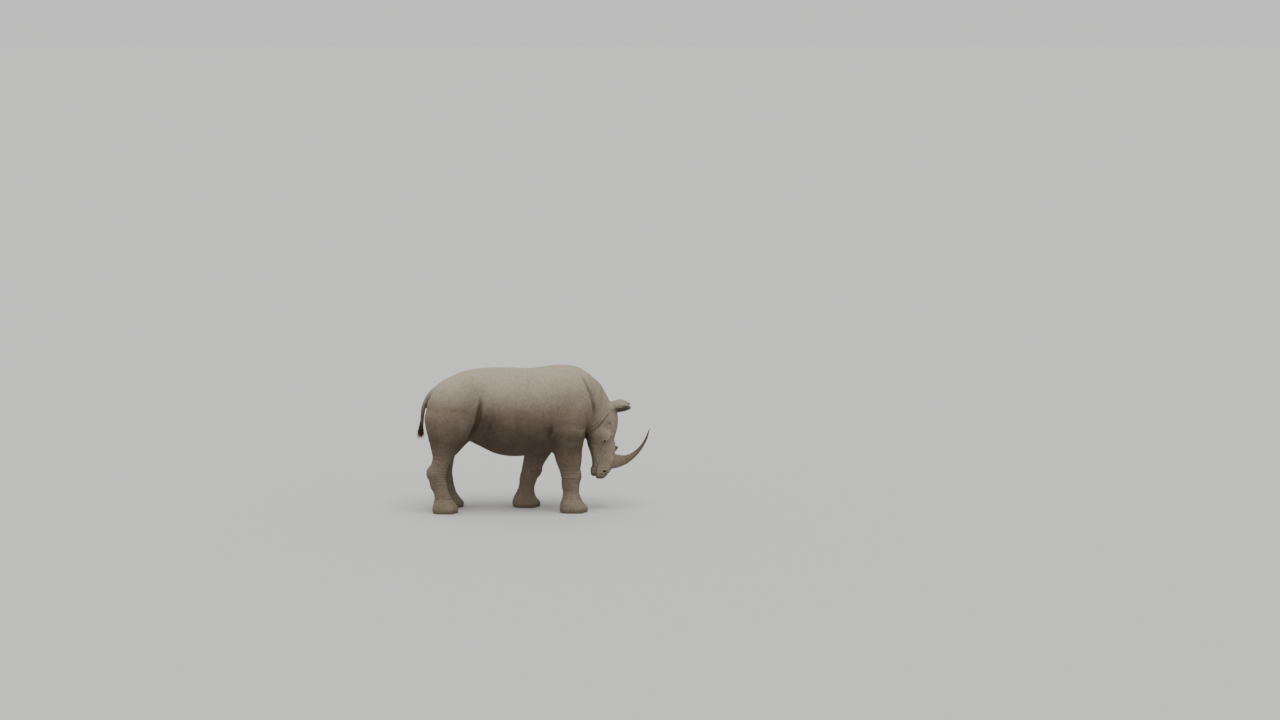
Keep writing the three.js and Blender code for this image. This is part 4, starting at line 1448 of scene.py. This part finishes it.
def make_tuft(material):
    """Dark bristles that hang from the end of the tail."""
    count = TUFT["count"]
    root = np.array([0, *TAIL_LINE[-1]], float)
    up = RANDOM.uniform(-10, 75, count)
    angle = RANDOM.uniform(0, 2 * np.pi, count)
    reach = RANDOM.uniform(0.2, 1, count) ** 0.5
    radius = 15 * reach
    lift = np.array([0.05, -0.11, 1.0])
    roots = root + up[:, None] * lift + np.stack(
        [1.25 * radius * np.cos(angle), 0.8 * radius * np.sin(angle), 0 * up], 1
    )
    flare = np.stack([0.24 * np.cos(angle), 0.12 * np.sin(angle) - 0.06, -np.ones(count)], 1)
    flare += RANDOM.normal(0, 0.06, (count, 3))
    lengths = RANDOM.uniform(*TUFT["length"], count) + 0.55 * up
    bend = RANDOM.normal(0, 0.07, (count, 3)) + [0, -0.04, 0]
    thickness = RANDOM.uniform(*TUFT["thickness"], count)
    points, faces, strand = strands(roots, flare, lengths, thickness, bend, rings=6)
    tuft = mesh_object("tail_bristles", placed(points), faces, material)
    patch_map(tuft, strand, count)
    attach(tuft, "root")
    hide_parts("tail_tuft")


def make_ear_fringe(side_name, material):
    """Short dark bristles along the ear's rim, thickest at the tip."""
    root, length, along, opens, across = ear_axes()
    count = FRINGE["count"]
    t = 0.42 + 0.575 * RANDOM.uniform(0, 1, count) ** 0.6
    wide, deep = track(EAR_SHAPE)(t)
    edge = RANDOM.choice([-1, 1], count)
    angle = edge * (2.0 + RANDOM.normal(0, 0.09, count))
    roots = root + along * (t * length)[:, None]
    roots = roots - opens * (EAR_SAG * np.sin(np.pi * t))[:, None]
    roots = roots + across * ((wide - 4) * np.sin(angle))[:, None]
    roots = roots - opens * ((deep - 4) * np.cos(angle))[:, None]
    directions = along * (0.35 + 1.3 * t**3)[:, None] + across * (0.8 * edge * (1 - t**2))[:, None]
    directions = directions + opens * 0.35 + RANDOM.normal(0, 0.16, (count, 3))
    lengths = RANDOM.uniform(*FRINGE["length"], count) + 12 * t**4
    bend = RANDOM.normal(0, 0.15, (count, 3))
    thickness = RANDOM.uniform(*FRINGE["thickness"], count)
    points, faces, strand = strands(roots, directions, lengths, thickness, bend, rings=4)
    points[:, 0] *= SIDES[side_name]
    fringe = mesh_object(f"ear_fringe_{side_name}", placed(points), faces, material)
    face_outwards(fringe)
    patch_map(fringe, strand, count)
    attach(fringe, "root")


def make_lashes(side_name, material):
    """A row of lashes along the upper lid."""
    count = LASHES["count"]
    a = np.linspace(-0.85, 0.85, count)
    b = (1 - np.abs(a) ** 1.8) ** (1 / 1.8)
    a, b = a * (LID["half_length"] + 1), b * (LID["half_height"] + 1.5)
    out = np.sqrt(np.maximum((EYE["radius"] + LID["thick"] - 1.5) ** 2 - a**2 - b**2, 9))
    roots = EYE_AT + EYE_SLIT * a[:, None] + EYE_ACROSS * b[:, None]
    roots = roots + EYE_OUT * out[:, None]
    roots = onto(body_field, roots, 4, 6.0, 0.5) - EYE_OUT * 1.5
    directions = EYE_OUT + EYE_ACROSS * 0.4 + EYE_SLIT * (0.03 * a)[:, None]
    directions = directions + RANDOM.normal(0, 0.08, (count, 3))
    bend = np.tile([0.0, 0.0, -0.35], (count, 1))
    lengths = RANDOM.uniform(*LASHES["length"], count)
    points, faces, strand = strands(roots, directions, lengths, np.full(count, LASHES["thickness"]), bend)
    points[:, 0] *= SIDES[side_name]
    lashes = mesh_object(f"lashes_{side_name}", placed(points), faces, material)
    face_outwards(lashes)
    patch_map(lashes, strand, count)
    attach(lashes, "root")


# ------------------------------------------------------------ materials


class Nodes:
    """A short way to wire a material's nodes."""

    def __init__(self, name):
        self.material = bpy.data.materials.new(name)
        self.material.use_nodes = True
        self.tree = self.material.node_tree
        self.shader = self.tree.nodes["Principled BSDF"]

    def add(self, kind, links=None, **settings):
        node = self.tree.nodes.new(kind)
        for key, value in settings.items():
            setattr(node, key, value)
        for key, value in (links or {}).items():
            self.link(value, node.inputs[key])
        return node

    def link(self, value, socket):
        if isinstance(value, bpy.types.NodeSocket):
            self.tree.links.new(value, socket)
        else:
            socket.default_value = value

    def maths(self, operation, a, b):
        return self.add("ShaderNodeMath", {0: a, 1: b}, operation=operation).outputs[0]

    def mix(self, share, a, b, blend="MIX"):
        links = {0: share, 6: a, 7: b}
        return self.add("ShaderNodeMix", links, data_type="RGBA", blend_type=blend).outputs[2]

    def spread(self, value, low, high, to_low=0.0, to_high=1.0):
        node = self.add(
            "ShaderNodeMapRange",
            {"Value": value, "From Min": low, "From Max": high, "To Min": to_low, "To Max": to_high},
            clamp=True,
        )
        return node.outputs[0]

    def noise(self, vector, scale, detail=4.0, roughness=0.55):
        links = {"Vector": vector, "Scale": scale, "Detail": detail, "Roughness": roughness}
        return self.add("ShaderNodeTexNoise", links).outputs["Fac"]

    def cracks(self, vector, scale, width):
        """1 on the plates of a net of cracks and 0 in the cracks."""
        links = {"Vector": vector, "Scale": scale}
        node = self.add("ShaderNodeTexVoronoi", links, feature="DISTANCE_TO_EDGE")
        return self.spread(node.outputs["Distance"], 0.0, width)

    def ramp(self, value, stops):
        node = self.add("ShaderNodeValToRGB", {0: value})
        elements = node.color_ramp.elements
        for k, (position, rgb) in enumerate(stops):
            stop = elements[k] if k < 2 else elements.new(position)
            stop.position, stop.color = position, colour(*rgb)
        return node.outputs[0]

    def bump(self, height, distance, strength=1.0, normal=None):
        links = {"Height": height, "Distance": distance, "Strength": strength}
        if normal is not None:
            links["Normal"] = normal
        return self.add("ShaderNodeBump", links).outputs[0]


def colour(r, g, b):
    return (r, g, b, 1.0)


def hide_material():
    """Bare grey-brown hide: pale dust on top, darker beneath with painted shade and a damp stain, dirt and
    painted shade in the folds, a fine net of cracks with painted shade in them.
    """
    n = Nodes("hide")
    place = n.add("ShaderNodeTexCoord").outputs["Object"]
    normal = n.add("ShaderNodeNewGeometry").outputs["Normal"]
    height = n.add("ShaderNodeSeparateXYZ", {0: place}).outputs[2]
    facing = n.add("ShaderNodeSeparateXYZ", {0: normal}).outputs[2]
    crease = n.add("ShaderNodeAttribute", attribute_name="crease").outputs["Fac"]
    dust_and_shade = n.add("ShaderNodeAttribute", attribute_name="dust_and_shade").outputs["Fac"]

    blotch = n.noise(place, 1.9, 5.0)
    cloud = n.noise(place, 7.0, 6.0, 0.62)
    speck = n.noise(place, 120.0, 4.0, 0.7)
    warp = n.add("ShaderNodeTexNoise", {"Vector": place, "Scale": 30.0, "Detail": 4.0})
    bent = n.add("ShaderNodeMix", {0: 0.014, 4: place, 5: warp.outputs["Color"]}, data_type="VECTOR")
    bent = bent.outputs[1]
    tall = n.add("ShaderNodeMapping", {"Vector": bent, "Scale": (1.0, 1.25, 0.8)}).outputs[0]
    scales = n.cracks(tall, 92.0, 0.20)
    plates = n.cracks(tall, 34.0, 0.11)
    wrinkle = n.noise(tall, 30.0, 7.0, 0.66)

    # The level of dust and painted shade, with blotches, picks the base colour: low values give the stained
    # and shaded dark hide.
    level = n.maths("ADD", dust_and_shade, n.maths("MULTIPLY", n.maths("SUBTRACT", blotch, 0.5), 0.42))
    base = n.ramp(
        level,
        (
            (0.0, (0.050, 0.035, 0.024)),
            (0.25, (0.090, 0.065, 0.044)),
            (0.5, (0.158, 0.120, 0.086)),
            (0.75, (0.246, 0.201, 0.150)),
            (1.0, (0.345, 0.298, 0.220)),
        ),
    )
    up = n.maths("MULTIPLY", n.spread(facing, -0.25, 0.9), n.spread(cloud, 0.28, 0.66, 0.6, 1.0))
    settled = n.maths("MULTIPLY", up, n.spread(dust_and_shade, 0.2, 0.9, 0.15, 0.5))
    base = n.mix(settled, base, colour(0.425, 0.376, 0.286))
    # Faces that turn down are darkened towards a damp brown: partly the belly's stain, partly painted shade
    # beneath.
    base = n.mix(n.spread(facing, -0.1, -0.8, 0.0, 0.4), base, colour(0.092, 0.058, 0.038))
    base = n.mix(n.spread(cloud, 0.44, 0.70, 0.0, 0.28), base, n.mix(0.4, base, colour(0.330, 0.272, 0.200)))
    mud = n.maths("MULTIPLY", n.spread(height, 0.42, 0.06), n.spread(cloud, 0.34, 0.6, 0.35, 1.0))
    base = n.mix(n.maths("MULTIPLY", mud, 0.5), base, colour(0.245, 0.192, 0.130))
    # The folds are darkened here: partly dirt that gathers in them, partly painted shade.
    folds_dirt_and_shade = n.maths("MULTIPLY", n.maths("MULTIPLY", crease, crease), n.spread(cloud, 0.2, 0.7, 0.95, 0.6))
    base = n.mix(folds_dirt_and_shade, base, colour(0.038, 0.027, 0.019))
    # The multiply below paints shade into the cracks between plates and scales and into the low parts of the
    # wrinkle pattern, where the bumps sink.
    dark = n.mix(1.0, base, colour(0.34, 0.30, 0.27), "MULTIPLY")
    pale = n.mix(1.0, base, colour(1.45, 1.42, 1.36), "MULTIPLY")
    base = n.mix(n.spread(scales, 1.0, 0.0, 0.0, 0.24), base, dark)
    base = n.mix(n.spread(plates, 1.0, 0.0, 0.0, 0.20), base, dark)
    base = n.mix(n.spread(speck, 0.50, 0.72, 0.0, 0.30), base, pale)
    base = n.mix(n.spread(wrinkle, 0.50, 0.30, 0.0, 0.34), base, dark)
    n.link(base, n.shader.inputs["Base Color"])

    n.link(n.spread(cloud, 0.3, 0.7, 0.74, 0.95), n.shader.inputs["Roughness"])
    n.shader.inputs["Specular IOR Level"].default_value = 0.25

    grain = n.noise(place, 300.0, 3.0, 0.7)
    normal = n.bump(wrinkle, 0.012, 0.50)
    normal = n.bump(plates, 0.004, 0.35, normal)
    normal = n.bump(scales, 0.002, 0.45, normal)
    normal = n.bump(grain, 0.001, 0.45, normal)
    n.link(normal, n.shader.inputs["Normal"])
    return n.material


def horn_material():
    n = Nodes("horn")
    fibre = n.add("ShaderNodeAttribute", attribute_name="fibre").outputs["Vector"]
    along = n.add("ShaderNodeSeparateXYZ", {0: fibre}).outputs[2]
    stretched = n.add("ShaderNodeMapping", {"Vector": fibre, "Scale": (16.0, 16.0, 3.0)}).outputs[0]
    streak = n.noise(stretched, 2.2, 6.0, 0.65)
    banded = n.add("ShaderNodeMapping", {"Vector": fibre, "Scale": (1.2, 1.2, 30.0)}).outputs[0]
    band = n.noise(banded, 1.0, 4.0, 0.6)
    base = n.mix(n.spread(streak, 0.32, 0.68), colour(0.062, 0.041, 0.023), colour(0.215, 0.155, 0.092))
    base = n.mix(n.spread(band, 0.45, 0.7, 0.0, 0.4), base, colour(0.26, 0.205, 0.14))
    base = n.mix(n.spread(along, 0.05, 0.30, 0.55, 0.0), base, colour(0.245, 0.200, 0.145))
    base = n.mix(n.spread(along, 0.42, 0.85, 0.0, 0.75), base, colour(0.048, 0.031, 0.018))
    n.link(base, n.shader.inputs["Base Color"])
    rough = n.maths("ADD", n.spread(along, 0.2, 0.95, 0.72, 0.42), n.spread(streak, 0.3, 0.7, -0.06, 0.1))
    n.link(rough, n.shader.inputs["Roughness"])
    n.shader.inputs["Specular IOR Level"].default_value = 0.4
    normal = n.bump(streak, 0.004, 0.8)
    normal = n.bump(band, 0.004, 0.5, normal)
    n.link(normal, n.shader.inputs["Normal"])
    return n.material


def nail_material():
    n = Nodes("nail")
    place = n.add("ShaderNodeTexCoord").outputs["Object"]
    stretched = n.add("ShaderNodeMapping", {"Vector": place, "Scale": (90.0, 90.0, 16.0)}).outputs[0]
    streak = n.noise(stretched, 1.0, 5.0, 0.6)
    cloud = n.noise(place, 30.0, 4.0)
    base = n.mix(n.spread(streak, 0.35, 0.65), colour(0.070, 0.052, 0.036), colour(0.165, 0.132, 0.096))
    base = n.mix(n.spread(cloud, 0.45, 0.65, 0.0, 0.5), base, colour(0.120, 0.094, 0.066))
    low = n.add("ShaderNodeSeparateXYZ", {0: place}).outputs[2]
    base = n.mix(n.spread(low, 0.022, 0.004, 0.0, 0.5), base, colour(0.25, 0.20, 0.14))
    n.link(base, n.shader.inputs["Base Color"])
    n.shader.inputs["Roughness"].default_value = 0.62
    n.link(n.bump(streak, 0.002, 0.7), n.shader.inputs["Normal"])
    return n.material


def eye_material():
    n = Nodes("eye")
    away = n.add("ShaderNodeAttribute", attribute_name="from_axis").outputs["Fac"]
    iris = n.mix(n.spread(away, 0.20, 0.36), colour(0.006, 0.004, 0.003), colour(0.034, 0.017, 0.009))
    base = n.mix(n.spread(away, 0.56, 0.66), iris, colour(0.020, 0.013, 0.010))
    base = n.mix(n.spread(away, 0.85, 1.1), base, colour(0.22, 0.16, 0.13))
    n.link(base, n.shader.inputs["Base Color"])
    n.shader.inputs["Roughness"].default_value = 0.14
    n.shader.inputs["Specular IOR Level"].default_value = 0.2
    n.shader.inputs["Coat Weight"].default_value = 0.15
    n.shader.inputs["Coat Roughness"].default_value = 0.05
    return n.material


def hair_material():
    n = Nodes("hair")
    place = n.add("ShaderNodeTexCoord").outputs["Object"]
    shade = n.noise(place, 60.0, 3.0)
    base = n.mix(n.spread(shade, 0.35, 0.65), colour(0.020, 0.011, 0.005), colour(0.095, 0.054, 0.022))
    n.link(base, n.shader.inputs["Base Color"])
    n.shader.inputs["Roughness"].default_value = 0.6
    return n.material


def floor_material():
    n = Nodes("floor")
    n.shader.inputs["Base Color"].default_value = colour(0.500, 0.498, 0.492)
    n.shader.inputs["Roughness"].default_value = 0.9
    return n.material


# ------------------------------------------------------------ stage


FLOOR_HALF = 900.0
# Each sun's direction, its spread in degrees and its strength.
SUNS = {
    "key": ((0.30, 0.06, -1.0), 50.0, 2.45),
    "fill": ((-0.9, -0.6, -0.9), 70.0, 0.30),
}
# On her right, far off and about 5.5 m up. The angles turn it down and towards her head, in degrees.
CAMERA = {"place": (-34.43, 0.156, 5.54), "lens": 84.4, "down": 6.3, "turn": 2.29}


def make_floor():
    size = FLOOR_HALF
    corners = [(-size, -size, 0), (size, -size, 0), (size, size, 0), (-size, size, 0)]
    floor = mesh_object("floor", corners, [[0, 1, 2, 3]], floor_material(), False)
    floor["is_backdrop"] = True


def make_lights():
    """An even bright room with one broad soft light from overhead and a weaker one from her other side."""
    world = bpy.data.worlds.new("studio")
    bpy.context.scene.world = world
    world.use_nodes = True
    sky = world.node_tree.nodes["Background"]
    sky.inputs[0].default_value = (1.0, 1.0, 0.99, 1)
    sky.inputs[1].default_value = 0.78
    for name, (direction, spread, power) in SUNS.items():
        data = bpy.data.lights.new(name, "SUN")
        data.energy, data.angle = power, math.radians(spread)
        light = bpy.data.objects.new(name, data)
        light.location = (0, 0, 8)
        light.rotation_mode = "QUATERNION"
        light.rotation_quaternion = Vector(direction).to_track_quat("-Z", "Y")
        bpy.context.scene.collection.objects.link(light)
        light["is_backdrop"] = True


def make_camera():
    data = bpy.data.cameras.new("camera")
    data.sensor_width, data.lens = 36.0, CAMERA["lens"]
    data.clip_end = 2000.0
    camera = bpy.data.objects.new("camera", data)
    camera.location = CAMERA["place"]
    down, turn = math.radians(CAMERA["down"]), math.radians(CAMERA["turn"])
    ahead = Vector((math.cos(turn) * math.cos(down), -math.sin(turn) * math.cos(down), -math.sin(down)))
    camera.rotation_mode = "QUATERNION"
    camera.rotation_quaternion = ahead.to_track_quat("-Z", "Y")
    bpy.context.scene.collection.objects.link(camera)
    bpy.context.scene.camera = camera


# ------------------------------------------------------------ assembly

FLESH = ["trunk", "neck", "head", "muzzle", "lower_jaw", "tail", "ear_left", "ear_right"]
FLESH += [f"{name}_{part}" for name in STANCE for part in ("upper", "lower", "foot")]

LINES += fold_lines() + leg_fold_lines()
hide, hair = hide_material(), hair_material()
skin = make_skin(hide)
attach(skin, "root")
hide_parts(*FLESH)

keratin = horn_material()
make_horn("horn_front", FRONT_HORN, 150, keratin)
make_horn("horn_rear", REAR_HORN, 60, keratin)
horny = nail_material()
for leg_name in STANCE:
    make_nails(leg_name, horny)
dark = eye_material()
for side_name in SIDES:
    make_eye(side_name, dark)
    make_ear_fringe(side_name, hair)
    make_lashes(side_name, hair)
make_tuft(hair)

make_floor()
make_lights()
make_camera()

sizes = {"packed": packed, "shown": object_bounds()}
{k: [list(v[0]), list(v[1])] for k, v in sizes.items()}
